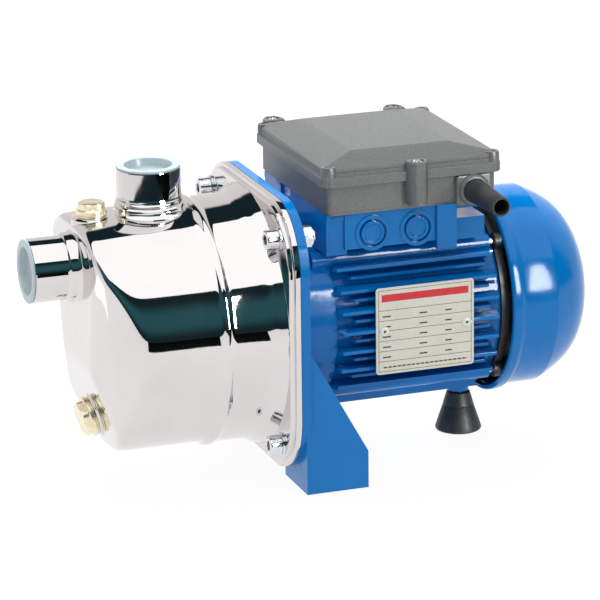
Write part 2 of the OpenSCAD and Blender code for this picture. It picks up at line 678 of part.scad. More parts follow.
module lid_screws() color("lightgray") on_shaft() at_lid_screws() {
    translate([0, 0, box_z + 7]) cylinder(h = 25, r = 1.8, $fn = SMOOTH);
    translate([0, 0, box_split_z + 14]) difference() {
        cylinder(h = 2.4, r = 4.2, $fn = SMOOTH);
        translate([-5, -0.6, 1.2]) cube([10, 1.2, 2]);
    }
}

module terminal_block() color([0.15, 0.15, 0.15]) on_shaft() difference() {
    block([84, -22, box_z + 2.5], [134, 2, box_z + 14]);
    for (i = [0:4]) translate([89 + 10 * i, -10, box_z + 8]) cylinder(h = 8, r = 2, $fn = SMOOTH);
    for (i = [0:3]) block([93.2 + 10 * i, -23, box_z + 10], [94.8 + 10 * i, 3, box_z + 15]);
}

module terminal_screws() color("goldenrod") on_shaft()
    for (i = [0:4]) translate([89 + 10 * i, -10, box_z + 8]) {
        cylinder(h = 6.5, r = 2, $fn = SMOOTH);
        translate([0, 0, 6]) cylinder(h = 2.4, r = 3.4, $fn = SMOOTH);
    }

module capacitor() color("whitesmoke") on_shaft() {
    bar_x(34, 86, 11, [36, box_z + 14.5]);
    bar_x(86, 89, 7, [36, box_z + 14.5]);
}

module cable_gland() color([0.25, 0.26, 0.26]) on_shaft() translate([gland_x, -box_w / 2, gland_z])
    rotate([90, 0, 0]) difference() {
        union() {
            translate([0, -0.3, 0]) linear_extrude(3.2) round_square(24, 20, 3);
            cylinder(h = 11, r1 = 10, r2 = 9, $fn = SMOOTH);
        }
        translate([0, 0, -1]) cylinder(h = 20, r = sleeve_bore_r + 0.8, $fn = SMOOTH);
        translate([0, 0, 4]) cylinder(h = 9, r = 7.4, $fn = SMOOTH);
    }

module cable_sleeve() color([0.3, 0.31, 0.31]) on_shaft() translate([gland_x, -box_w / 2 - 4, gland_z])
    rotate([90, 0, 0]) difference() {
        length = -sleeve_tip_y - box_w / 2 - 4;
        union() {
            cylinder(h = 8, r = 7.4, $fn = SMOOTH);
            translate([0, 0, 7]) cylinder(h = length - 7, r1 = 8, r2 = 6.3, $fn = SMOOTH);
        }
        translate([0, 0, -1]) cylinder(h = length + 2, r = sleeve_bore_r, $fn = SMOOTH);
    }

module nameplate() color("ivory") on_shaft() difference() {
    translate([(plate_x[0] + plate_x[1]) / 2, plate_y, (plate_z[0] + plate_z[1]) / 2]) rotate([90, 0, 0])
        linear_extrude(0.7) round_square(plate_x[1] - plate_x[0], plate_z[1] - plate_z[0], 2);
    for (x = rivet_x) translate([x, plate_y + 1, 0]) rotate([90, 0, 0])
        cylinder(h = 3, r = 1.4, $fn = SMOOTH);
}

module nameplate_rivets() color("silver") on_shaft()
    for (x = rivet_x) translate([x, plate_y, 0]) rotate([90, 0, 0]) {
        translate([0, 0, -7]) cylinder(h = 8, r = 1.4, $fn = SMOOTH);
        translate([0, 0, 0.7]) intersection() {
            translate([0, 0, -2.2]) sphere(r = 3.6, $fn = SMOOTH);
            cylinder(h = 2, r = 3, $fn = SMOOTH);
        }
    }

// --------------------------------------------------------------- rubber foot

module rubber_foot() color([0.14, 0.15, 0.15]) on_shaft() translate([foot_x, 0, 0]) difference() {
    union() {
        translate([0, 0, -shaft_h]) rotate_extrude($fn = SMOOTH) polygon([[0, 0], [foot_r - 1, 0],
            [foot_r, 1.2], [foot_r, 2.6], [10.9, 17.6], [10.4, 18], [10.7, 18.6],
            [8.8, 26], [7.8, 27], [0, 27]]);
        translate([0, 0, foot_top_z - 1]) cylinder(h = 2, r = 5.4, $fn = SMOOTH);
    }
    translate([0, 0, -shaft_h - 1]) cylinder(h = 10, r = 7.5, $fn = SMOOTH);
    translate([0, 0, -shaft_h]) cylinder(h = 40, r = 4, $fn = SMOOTH);
}

module foot_stud() color("lightgray") on_shaft() translate([foot_x, 0, 0]) {
    translate([0, 0, -shaft_h + 4]) hexagon(12.5, 5);
    translate([0, 0, -shaft_h + 8]) cylinder(h = shaft_h - 8 - 58, r = 4, $fn = SMOOTH);
}

pump_casing();
suction_port();
delivery_port();
suction_cap();
delivery_cap();
priming_plug();
priming_washer();
drain_plug();
drain_washer();
casing_gasket();
seal_plate();
ejector_body();
nozzle();
venturi_tube();
diffuser();
impeller();
impeller_nut();
impeller_key();
seal_seat();
seal_ring();
seal_spring();
seal_collar();
casing_screws();
casing_washers();
casing_nuts();
bracket();
slinger();
shaft();
front_bearing_outer();
front_bearing_inner();
rear_bearing_outer();
rear_bearing_inner();
bearing_balls();
preload_washer();
rotor_core();
rotor_rings();
stator_core();
stator_windings();
motor_housing();
knockout_plugs();
rear_shield();
tie_rods();
fan();
fan_clip();
fan_cover();
fan_cover_screws();
box_gasket();
terminal_box();
terminal_box_lid();
lid_screws();
terminal_block();
terminal_screws();
capacitor();
cable_gland();
cable_sleeve();
nameplate();
nameplate_rivets();
rubber_foot();
foot_stud();
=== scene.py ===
"""Looks for a shallow well jet pump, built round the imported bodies.

Shapes are worked out in millimetres, with x along the shaft from the casing joint to the fan and
y and z from the shaft's axis. They become metres in the row frame when a mesh is made.
"""

from __future__ import annotations

import json
import logging
import math
from contextlib import contextmanager
from dataclasses import dataclass, field
from enum import Enum
from typing import Iterator, Sequence

import bmesh
import bpy
import numpy as np
from mathutils import Matrix, Vector

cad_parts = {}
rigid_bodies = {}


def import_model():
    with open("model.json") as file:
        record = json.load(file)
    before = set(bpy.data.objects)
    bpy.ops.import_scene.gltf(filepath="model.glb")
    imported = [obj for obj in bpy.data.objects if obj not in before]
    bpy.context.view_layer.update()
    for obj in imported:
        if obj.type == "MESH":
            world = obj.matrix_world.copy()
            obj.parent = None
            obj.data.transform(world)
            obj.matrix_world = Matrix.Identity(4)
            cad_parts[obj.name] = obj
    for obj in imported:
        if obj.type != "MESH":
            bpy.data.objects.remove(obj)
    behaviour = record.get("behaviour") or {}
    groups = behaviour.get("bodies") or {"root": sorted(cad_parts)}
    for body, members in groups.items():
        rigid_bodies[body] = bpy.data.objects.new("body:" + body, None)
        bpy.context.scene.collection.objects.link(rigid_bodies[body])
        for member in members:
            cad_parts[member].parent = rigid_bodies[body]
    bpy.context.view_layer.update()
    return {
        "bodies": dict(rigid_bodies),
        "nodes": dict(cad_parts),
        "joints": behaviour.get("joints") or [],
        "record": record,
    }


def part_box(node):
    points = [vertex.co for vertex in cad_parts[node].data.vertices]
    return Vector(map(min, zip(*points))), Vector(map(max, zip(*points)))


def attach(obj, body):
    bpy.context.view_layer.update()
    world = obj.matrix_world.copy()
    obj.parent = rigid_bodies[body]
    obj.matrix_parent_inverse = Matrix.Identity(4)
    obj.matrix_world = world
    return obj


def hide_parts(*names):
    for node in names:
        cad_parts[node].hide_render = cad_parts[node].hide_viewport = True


LOG = logging.getLogger("jet_pump")
MM = 0.001
TURN = 2 * math.pi
MAIN = "pump_body"

WELD = 2e-6  # metres within which points of a new mesh are one
NODE_WELD = 1e-5  # the same for a CAD node
FLAT_WITHIN = math.radians(0.5)

Colour = tuple[float, float, float]
Spot = tuple[float, float, float]
Pair = tuple[float, float]
Ring = np.ndarray


# ---------------------------------------------------------------- shader expressions


class Value:
    """A socket that takes part in Python expressions."""

    def __init__(self, tree: Tree, socket: bpy.types.NodeSocket) -> None:
        """Wraps a socket.

        Args:
            tree: the tree that new nodes go into.
            socket: the output socket.
        """
        self.tree = tree
        self.socket = socket

    def _math(self, operation: str, *terms: Value | float) -> Value:
        """Adds one Math node.

        Args:
            operation: what the node does.
            *terms: its values in order.

        Returns:
            The node's result.
        """
        return self.tree.node("ShaderNodeMath", {"operation": operation}, dict(enumerate(terms)))

    def __add__(self, other: Value | float) -> Value:
        """Sum."""
        return self._math("ADD", self, other)

    __radd__ = __add__

    def __sub__(self, other: Value | float) -> Value:
        """Difference."""
        return self._math("SUBTRACT", self, other)

    def __rsub__(self, other: Value | float) -> Value:
        """Difference with the terms the other way round."""
        return self._math("SUBTRACT", other, self)

    def __mul__(self, other: Value | float) -> Value:
        """Product."""
        return self._math("MULTIPLY", self, other)

    __rmul__ = __mul__

    def __truediv__(self, other: Value | float) -> Value:
        """Quotient."""
        return self._math("DIVIDE", self, other)

    def __gt__(self, other: Value | float) -> Value:
        """1 where this value is larger."""
        return self._math("GREATER_THAN", self, other)

    def __lt__(self, other: Value | float) -> Value:
        """1 where this value is smaller."""
        return self._math("LESS_THAN", self, other)

    def __abs__(self) -> Value:
        """Size without sign."""
        return self._math("ABSOLUTE", self)

    def fraction(self) -> Value:
        """What is left after the whole part."""
        return self._math("FRACT", self)

    def step(self, low: float, high: float, start: float = 0.0, end: float = 1.0) -> Value:
        """Smooth step.

        Args:
            low: value at which the step starts.
            high: value at which it ends.
            start: result below the step.
            end: result above it.

        Returns:
            The stepped value.
        """
        limits = {"From Min": low, "From Max": high, "To Min": start, "To Max": end}
        settings = {"interpolation_type": "SMOOTHSTEP"}
        return self.tree.node("ShaderNodeMapRange", settings, {"Value": self, **limits})


class Tree:
    """The node tree of a material or a world."""

    def __init__(self, owner: bpy.types.Material | bpy.types.World) -> None:
        """Empties the owner's tree.

        Args:
            owner: the material or world that the nodes belong to.
        """
        owner.use_nodes = True
        self.nodes = owner.node_tree.nodes
        self.links = owner.node_tree.links
        self.nodes.clear()

    def node(self, kind: str, settings: dict[str, object], values: dict[object, object],
             output: object = 0) -> Value:
        """Adds any node.

        Args:
            kind: the node's type.
            settings: properties, which are set first.
            values: numbers, colours or Values for the input sockets, by index or name.
            output: index or name of the wanted output.

        Returns:
            The wanted output.
        """
        made = self.nodes.new(kind)
        for key, value in settings.items():
            setattr(made, key, value)
        for key, value in values.items():
            if isinstance(value, Value):
                self.links.new(value.socket, made.inputs[key])
            else:
                made.inputs[key].default_value = value
        return Value(self, made.outputs[output] if made.outputs else None)

    def place(self) -> Value:
        """Object coordinates, which are metres in the row frame."""
        return self.node("ShaderNodeTexCoord", {}, {}, "Object")

    def axes(self, source: Value) -> list[Value]:
        """Splits a vector.

        Args:
            source: the vector.

        Returns:
            Its x, y and z.
        """
        first = self.node("ShaderNodeSeparateXYZ", {}, {0: source})
        return [Value(self, socket) for socket in first.socket.node.outputs]

    def noise(self, size: float, detail: float = 2.0, stretch: Colour = (1, 1, 1)) -> Value:
        """Smooth noise about 0.5.

        Args:
            size: how wide one blob is, in millimetres.
            detail: octaves of finer noise.
            stretch: how many times finer the noise is along each axis.

        Returns:
            The noise.
        """
        moved = self.node("ShaderNodeMapping", {}, {"Vector": self.place(), "Scale": stretch})
        values = {"Vector": moved, "Scale": 1 / (size * MM), "Detail": detail}
        return self.node("ShaderNodeTexNoise", {}, values)

    def mix(self, share: Value | float, first: object, second: object) -> Value:
        """Mixes two colours.

        Args:
            share: how much of the second shows.
            first: a colour or Value.
            second: a colour or Value.

        Returns:
            The mixed colour.
        """
        values = {0: share, 6: first, 7: second}
        return self.node("ShaderNodeMix", {"data_type": "RGBA"}, values, 2)

    def bump(self, height: Value, depth: float, under: Value | None = None) -> Value:
        """Tilts the surface by a height.

        Args:
            height: the height, about 0 to 1.
            depth: how tall 1 is, in millimetres.
            under: a bump below this one.

        Returns:
            The normal.
        """
        values = {"Height": height, "Distance": depth * MM, "Strength": 1.0}
        if under is not None:
            values["Normal"] = under
        return self.node("ShaderNodeBump", {}, values)

    def end(self, kind: str, shader: Value) -> None:
        """Joins a shader to the tree's output.

        Args:
            kind: the output node's type.
            shader: the shader.
        """
        self.node(kind, {}, {"Surface": shader})


def rgba(colour: Colour, gain: float = 1.0) -> tuple[float, float, float, float]:
    """A colour with its alpha.

    Args:
        colour: linear red, green and blue.
        gain: a factor on all three.

    Returns:
        Four numbers.
    """
    return (*(min(1.0, part * gain) for part in colour), 1.0)


# ------------------------------------------------------------------------- finishes


@dataclass(frozen=True)
class Finish:
    """A finish with mottled colour, uneven gloss and up to two grains of bump."""

    slot: str
    colour: Colour
    metal: float = 0.0
    rough: float = 0.4
    rough_spread: float = 0.05
    mottle: float = 0.08
    mottle_size: float = 12.0
    grain_size: float = 1.0
    grain_depth: float = 0.01
    wave_size: float = 18.0
    wave_depth: float = 0.0
    stretch: Colour = (1.0, 1.0, 1.0)
    coat: float = 0.0
    specular: float = 0.5

    def base(self, tree: Tree) -> Value:
        """Mottled base colour.

        Args:
            tree: the material's tree.

        Returns:
            The colour.
        """
        patch = tree.noise(self.mottle_size, 3.0, self.stretch).step(0.3, 0.7)
        darker, lighter = rgba(self.colour, 1 - self.mottle), rgba(self.colour, 1 + self.mottle)
        return tree.mix(patch, darker, lighter)

    def relief(self, tree: Tree) -> Value:
        """Fine grain over a broad wave.

        Args:
            tree: the material's tree.

        Returns:
            The bumped normal.
        """
        wave = None
        if self.wave_depth:
            wave = tree.bump(tree.noise(self.wave_size, 1.0), self.wave_depth)
        return tree.bump(tree.noise(self.grain_size, 2.0, self.stretch), self.grain_depth, wave)

    def gloss(self, tree: Tree) -> Value:
        """Uneven roughness.

        Args:
            tree: the material's tree.

        Returns:
            The roughness.
        """
        low, high = max(0.0, self.rough - self.rough_spread), self.rough + self.rough_spread
        return tree.noise(self.mottle_size * 0.6, 4.0).step(0.25, 0.75, low, high)

    def make(self) -> bpy.types.Material:
        """Builds the material the first time it is asked for.

        Returns:
            The material.
        """
        name = f"{type(self).__name__}_{self.slot}"
        found = bpy.data.materials.get(name)
        if found:
            return found
        tree = Tree(bpy.data.materials.new(name))
        shader = tree.node("ShaderNodeBsdfPrincipled", {}, {
            "Base Color": self.base(tree),
            "Roughness": self.gloss(tree),
            "Normal": self.relief(tree),
            "Metallic": self.metal,
            "Coat Weight": self.coat,
            "Specular IOR Level": self.specular,
        })
        tree.end("ShaderNodeOutputMaterial", shader)
        return bpy.data.materials[name]


@dataclass(frozen=True)
class Laminated(Finish):
    """Thin sheets stacked along the shaft."""

    sheet: float = 0.5
    gap_share: float = 0.25
    sheet_gain: float = 0.45

    def base(self, tree: Tree) -> Value:
        """Fine lines between the sheets.

        Args:
            tree: the material's tree.

        Returns:
            The colour.
        """
        along = tree.axes(tree.place())[0] / (self.sheet * MM)
        gap = along.fraction() < self.gap_share
        return tree.mix(gap, rgba(self.colour), rgba(self.colour, self.sheet_gain))


@dataclass(frozen=True)
class RatingPlate(Finish):
    """Printed plate with a plain red band, ruled rows and blank dashes, and no lettering."""

    centre: Pair = (0.0, 0.0)
    half: Pair = (34.0, 29.0)
    ink: Colour = (0.03, 0.03, 0.03)
    red: Colour = (0.62, 0.012, 0.02)
    margin: float = 1.7
    line: float = 0.34
    rows: int = 8
    dash_share: Pair = (0.36, 0.5)
    label: Pair = (3.0, 8.5)
    columns: tuple[Pair, ...] = ((-4.0, 1.5), (14.0, 18.5))
    footer_inset: float = 3.0
    footer_pitch: float = 0.31
    band_row: float = 0.78
    band_half: float = 0.36
    band_inset: float = 2.2

    def base(self, tree: Tree) -> Value:
        """The printed pattern.

        Args:
            tree: the material's tree.

        Returns:
            The colour.
        """
        place = tree.axes(tree.place())
        across = (place[0] - self.centre[0] * MM) / MM
        up = (place[2] - self.centre[1] * MM) / MM
        wide, tall = self.half[0] - self.margin, self.half[1] - self.margin
        inside = (abs(across) < wide) * (abs(up) < tall)
        border = inside * (1 - (abs(across) < wide - self.line) * (abs(up) < tall - self.line))
        pitch = 2 * tall / self.rows
        row = (up + tall) / pitch
        part = row.fraction()
        ruled = inside * (part < self.line / pitch) * (row < self.rows - 1.4)
        dash_tall = (part > self.dash_share[0]) * (part < self.dash_share[1])
        spans = (across > self.label[0] - wide) * (across < self.label[1] - wide)
        for start, stop in self.columns:
            spans = spans + (across > start) * (across < stop)
        dashes = inside * dash_tall * spans * (row < self.rows - 2) * (row > 1)
        footer = inside * dash_tall * (row < 1) * (abs(across) < wide - self.footer_inset)
        words = (across * self.footer_pitch).fraction() < 0.8
        band_tall = abs(row - (self.rows - self.band_row)) < self.band_half
        band = inside * band_tall * (abs(across) < wide - self.band_inset)
        paper = super().base(tree)
        marks = border + ruled + dashes + footer * words
        inked = tree.mix(marks > 0.5, paper, rgba(self.ink))
        return tree.mix(band > 0.5, inked, rgba(self.red))


# Each row gives slot, colour, metal, roughness and its spread, mottle and its blobs in mm,
# grain size and depth in mm, then wave size and depth in mm.
FINISHES: dict[str, Finish] = {
    made.slot: made
    for made in (
        Finish("polished_steel", (0.69, 0.668, 0.662), 1.0, 0.035, 0.012, 0.02, 30, 0.6, 0.0006,
               34, 0.05),
        Finish("turned_steel", (0.60, 0.59, 0.58), 1.0, 0.26, 0.06, 0.05, 6, 0.4, 0.004,
               stretch=(8, 1, 1)),
        Finish("clear_plastic", (0.42, 0.505, 0.535), 0.0, 0.26, 0.06, 0.03, 8, 0.6, 0.01,
               specular=0.3),
        Finish("brass", (0.90, 0.81, 0.60), 1.0, 0.32, 0.05, 0.04, 4, 0.5, 0.003),
        Finish("black_rubber", (0.024, 0.028, 0.028), 0.0, 0.5, 0.08, 0.3, 7, 0.5, 0.03,
               specular=0.45),
        Finish("moulded_hydraulics", (0.52, 0.44, 0.30), 0.0, 0.5, 0.06, 0.08, 9, 0.8, 0.02),
        Finish("seal_ceramic", (0.80, 0.78, 0.72), 0.0, 0.15, 0.03, 0.03, 5, 0.5, 0.002),
        Finish("seal_carbon", (0.03, 0.03, 0.032), 0.0, 0.3, 0.05, 0.1, 5, 0.5, 0.004),
        Finish("zinc_fasteners", (0.72, 0.74, 0.77), 1.0, 0.16, 0.06, 0.06, 3, 0.5, 0.01),
        Finish("blue_enamel", (0.0, 0.165, 0.50), 0.0, 0.13, 0.04, 0.05, 40, 1.6, 0.010,
               9, 0.05, coat=0.1, specular=0.24),
        Finish("bare_casting", (0.50, 0.51, 0.52), 1.0, 0.5, 0.08, 0.1, 8, 1.2, 0.05),
        Laminated("lamination_steel", (0.24, 0.25, 0.27), 1.0, 0.4, 0.06, 0.1, 8, 0.8, 0.01),
        Finish("copper_winding", (0.62, 0.26, 0.12), 1.0, 0.28, 0.06, 0.15, 2, 0.5, 0.06,
               stretch=(1, 4, 4)),
        Finish("black_plastic", (0.014, 0.014, 0.016), 0.0, 0.42, 0.08, 0.2, 9, 0.6, 0.02),
        Finish("grey_plastic", (0.108, 0.115, 0.114), 0.0, 0.40, 0.07, 0.16, 1.3, 0.85, 0.11,
               specular=0.8),
        Finish("white_plastic", (0.74, 0.74, 0.70), 0.0, 0.35, 0.05, 0.05, 9, 0.6, 0.01),
    )
}


class Body(Enum):
    """The bodies that pieces ride on."""

    FIXED = MAIN
    SUCTION_CAP = "suction_cap"
    DELIVERY_CAP = "delivery_cap"
    PRIMING_PLUG = "priming_plug"
    DRAIN_PLUG = "drain_plug"


# ------------------------------------------------------------------------ mesh tools


def placed(name: str, data: bpy.types.ID) -> bpy.types.Object:
    """Makes an object at the origin and puts it in the scene.

    Args:
        name: the object's name.
        data: its mesh, light or camera.

    Returns:
        The object.
    """
    made = bpy.data.objects.new(name, data)
    bpy.context.scene.collection.objects.link(made)
    return made


@contextmanager
def editing(mesh: bpy.types.Mesh, weld: float) -> Iterator[bmesh.types.BMesh]:
    """Opens a mesh with its points merged, and writes it back afterwards.

    Args:
        mesh: the mesh.
        weld: how near points merge, in metres.

    Yields:
        The mesh for bmesh work.
    """
    work = bmesh.new()
    work.from_mesh(mesh)
    bmesh.ops.remove_doubles(work, verts=work.verts, dist=weld)
    yield work
    work.to_mesh(mesh)
    work.free()


@dataclass(frozen=True)
class Frame:
    """Where the shaft's axis and the casing joint lie in the row frame, in millimetres."""

    joint_x: float
    axle_z: float

    @classmethod
    def read(cls) -> Frame:
        """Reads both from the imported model.

        Returns:
            The frame.
        """
        low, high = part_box("shaft")
        return cls(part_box("bracket")[0].x / MM, (low.z + high.z) / 2 / MM)

    def metres(self, points: np.ndarray) -> np.ndarray:
        """Turns shaft millimetres into row metres.

        Args:
            points: one row per point.

        Returns:
            The points in metres.
        """
        return (points + np.array([self.joint_x, 0.0, self.axle_z])) * MM


@dataclass(frozen=True)
class Axle:
    """A straight line that shapes are turned about."""

    origin: Spot
    direction: Spot
    steps: int = 96

    def sides(self) -> tuple[np.ndarray, np.ndarray, np.ndarray]:
        """Works out a right-handed set.

        Returns:
            Unit vectors along and across the line.
        """
        along = np.array(self.direction, float)
        along /= np.linalg.norm(along)
        helper = np.array([0.0, 0.0, 1.0]) if abs(along[2]) < 0.9 else np.array([1.0, 0.0, 0.0])
        first = np.cross(helper, along)
        first /= np.linalg.norm(first)
        return along, first, np.cross(along, first)

    def angles(self) -> np.ndarray:
        """Equal angles round the line."""
        return np.arange(self.steps) * TURN / self.steps

    def ring(self, along: float | np.ndarray, radius: float | np.ndarray) -> Ring:
        """Points round the line.

        Args:
            along: distance from the origin.
            radius: distance from the line, one for all or one each.

        Returns:
            One row per point.
        """
        axis, first, second = self.sides()
        turn = self.angles()
        out = np.outer(np.cos(turn), first) + np.outer(np.sin(turn), second)
        lift = np.broadcast_to(np.asarray(along, float), turn.shape)[:, None] * axis
        reach = np.broadcast_to(np.asarray(radius, float), turn.shape)[:, None]
        return np.array(self.origin) + lift + out * reach

    def rings(self, profile: Sequence[tuple[float, float | np.ndarray]]) -> list[Ring]:
        """Rings at the points of a profile.

        Args:
            profile: points as (along, out).

        Returns:
            One ring for each point.
        """
        return [self.ring(along, out) for along, out in profile]

    def polygon(self, half_width: float, sides: int = 6) -> np.ndarray:
        """Radii of a regular polygon.

        Args:
            half_width: distance from the centre to a flat.
            sides: how many flats.

        Returns:
            One radius per angle.
        """
        part = TURN / sides
        return half_width / np.cos((self.angles() + part / 2) % part - part / 2)


def arc(centre: Pair, radius: float, start: float, end: float, count: int = 6) -> list[Pair]:
    """Points along an arc.

    Args:
        centre: its centre as (along, out).
        radius: its radius.
        start: first angle in degrees, 0 being along.
        end: last angle.
        count: how many steps.

    Returns:
        The points.
    """
    turns = [math.radians(start + (end - start) * i / count) for i in range(count + 1)]
    return [(centre[0] + radius * math.cos(t), centre[1] + radius * math.sin(t)) for t in turns]


def rounded_square(angles: np.ndarray, half: float, corner: float) -> np.ndarray:
    """Radii of a square with round corners.

    Args:
        angles: directions from the centre.
        half: half the square's width.
        corner: radius of its corners.

    Returns:
        One radius per angle.
    """
    c, s = np.abs(np.cos(angles)), np.abs(np.sin(angles))
    flat = half / np.maximum(c, s)
    inner = half - corner
    reach = inner * (c + s)
    round_end = reach + np.sqrt(np.maximum(0.0, reach**2 - 2 * inner**2 + corner**2))
    on_corner = flat * np.minimum(c, s) > inner
    return np.where(on_corner, round_end, flat)


@dataclass(frozen=True)
class Panel:
    """A level rectangle with round corners, as a ring of points."""

    x: Pair
    y: Pair
    corner: float
    steps: int = 8

    def ring(self, z: float, grow: float = 0.0) -> Ring:
        """Points at one height.

        Args:
            z: the height.
            grow: how far every side moves out.

        Returns:
            One row per point, anticlockwise from above.
        """
        radius = max(0.2, self.corner + grow)
        spots = []
        ends = ((self.x[1], self.y[1], 0), (self.x[0], self.y[1], 90),
                (self.x[0], self.y[0], 180), (self.x[1], self.y[0], 270))
        for x, y, start in ends:
            sx = 1 if start in (0, 270) else -1
            sy = 1 if start in (0, 90) else -1
            centre = (x + sx * (grow - radius), y + sy * (grow - radius))
            spots += [(*p, z) for p in arc(centre, radius, start, start + 90, self.steps)]
        return np.array(spots)


class Shop:
    """Turns rings and templates into dressed objects."""

    def __init__(self, frame: Frame) -> None:
        """Starts with the frame.

        Args:
            frame: where the shaft lies.
        """
        self.frame = frame

    def loft(self, name: str, rings: Sequence[Ring], closed: bool = False) -> bpy.types.Object:
        """Skins a row of rings.

        Args:
            name: the object's name.
            rings: rings with equally many points.
            closed: whether the last ring joins the first, or both ends are capped.

        Returns:
            The object.
        """
        count = len(rings[0])
        points = self.frame.metres(np.concatenate(rings))
        pairs = [(i, i + 1) for i in range(len(rings) - 1)]
        if closed:
            pairs.append((len(rings) - 1, 0))
        sides = [(j, (j + 1) % count) for j in range(count)]
        faces = [(a * count + j, a * count + k, b * count + k, b * count + j)
                 for a, b in pairs for j, k in sides]
        if not closed:
            last = (len(rings) - 1) * count
            faces += [tuple(reversed(range(count))), tuple(range(last, last + count))]
        return self.solid(name, points, faces)

    def solid(self, name: str, points: np.ndarray, faces: Sequence[Sequence[int]]
              ) -> bpy.types.Object:
        """Makes an object with merged points and outward faces.

        Args:
            name: the object's name.
            points: its points in metres.
            faces: its faces.

        Returns:
            The object.
        """
        mesh = bpy.data.meshes.new(name)
        mesh.from_pydata(points.tolist(), [], [tuple(f) for f in faces])
        with editing(mesh, WELD) as work:
            bmesh.ops.recalc_face_normals(work, faces=work.faces)
        made = placed(name, mesh)
        self.smooth(made)
        return made

    def turned(self, name: str, axle: Axle, profile: Sequence[Pair], closed: bool = False
               ) -> bpy.types.Object:
        """Turns a profile about a line.

        Args:
            name: the object's name.
            axle: the line.
            profile: points as (along, out).
            closed: whether the profile is a loop.

        Returns:
            The object.
        """
        return self.loft(name, axle.rings(profile), closed)

    def smooth(self, made: bpy.types.Object, angle: float = 35.0) -> None:
        """Shades smooth apart from sharp edges.

        Args:
            made: the object.
            angle: the least angle of a sharp edge, in degrees.
        """
        made.data.shade_smooth()
        made.data.set_sharp_from_angle(angle=math.radians(angle))

    def copy_node(self, name: str, node: str) -> bpy.types.Object:
        """Copies a CAD node with its points merged and its flat faces whole.

        Args:
            name: the copy's name.
            node: the CAD node.

        Returns:
            The copy.
        """
        mesh = bpy.data.objects[node].data.copy()
        with editing(mesh, NODE_WELD) as work:
            bmesh.ops.dissolve_limit(work, angle_limit=FLAT_WITHIN, verts=work.verts,
                                     edges=work.edges)
        mesh.materials.clear()
        made = placed(name, mesh)
        self.smooth(made)
        return made

    def bevel(self, made: bpy.types.Object, width: float, segments: int = 2
              ) -> bpy.types.Object:
        """Rounds an object's sharp edges.

        Args:
            made: the object.
            width: width of the rounding in millimetres.
            segments: how many faces it takes.

        Returns:
            The same object.
        """
        tool = made.modifiers.new("rounding", "BEVEL")
        tool.width = width * MM
        tool.segments = segments
        tool.limit_method = "ANGLE"
        tool.angle_limit = math.radians(38.0)
        tool.use_clamp_overlap = True
        tool.harden_normals = True
        self.bake(made)
        return made

    def cut(self, made: bpy.types.Object, cutter: bpy.types.Object, sharp: float) -> None:
        """Cuts a closed object out of another.

        Args:
            made: the object that is cut.
            cutter: the closed object, which is used up.
            sharp: the least angle of a sharp edge afterwards, in degrees.
        """
        tool = made.modifiers.new("cut", "BOOLEAN")
        tool.operation = "DIFFERENCE"
        tool.solver = "EXACT"
        tool.object = cutter
        self.bake(made)
        bpy.data.objects.remove(cutter)
        self.smooth(made, sharp)

    def bake(self, made: bpy.types.Object) -> None:
        """Applies an object's modifiers.

        Args:
            made: the object.
        """
        bpy.context.view_layer.update()
        graph = bpy.context.evaluated_depsgraph_get()
        mesh = bpy.data.meshes.new_from_object(made.evaluated_get(graph))
        made.modifiers.clear()
        old = made.data
        made.data = mesh
        mesh.name = made.name
        bpy.data.meshes.remove(old)

    def dress(self, made: bpy.types.Object, slot: str, body: Body = Body.FIXED,
              replaces: Sequence[str] = (), finish: Finish | None = None) -> bpy.types.Object:
        """Gives a piece its finish and body.

        Args:
            made: the piece.
            slot: the record's slot.
            body: the body it rides on.
            replaces: the CAD nodes it stands for.
            finish: its finish where that isn't the slot's usual one.

        Returns:
            The same piece.
        """
        made.data.materials.clear()
        made.data.materials.append((finish or FINISHES[slot]).make())
        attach(made, body.value)
        if replaces:
            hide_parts(*replaces)
        LOG.info("%s: %d faces on %s", made.name, len(made.data.polygons), body.value)
        return made


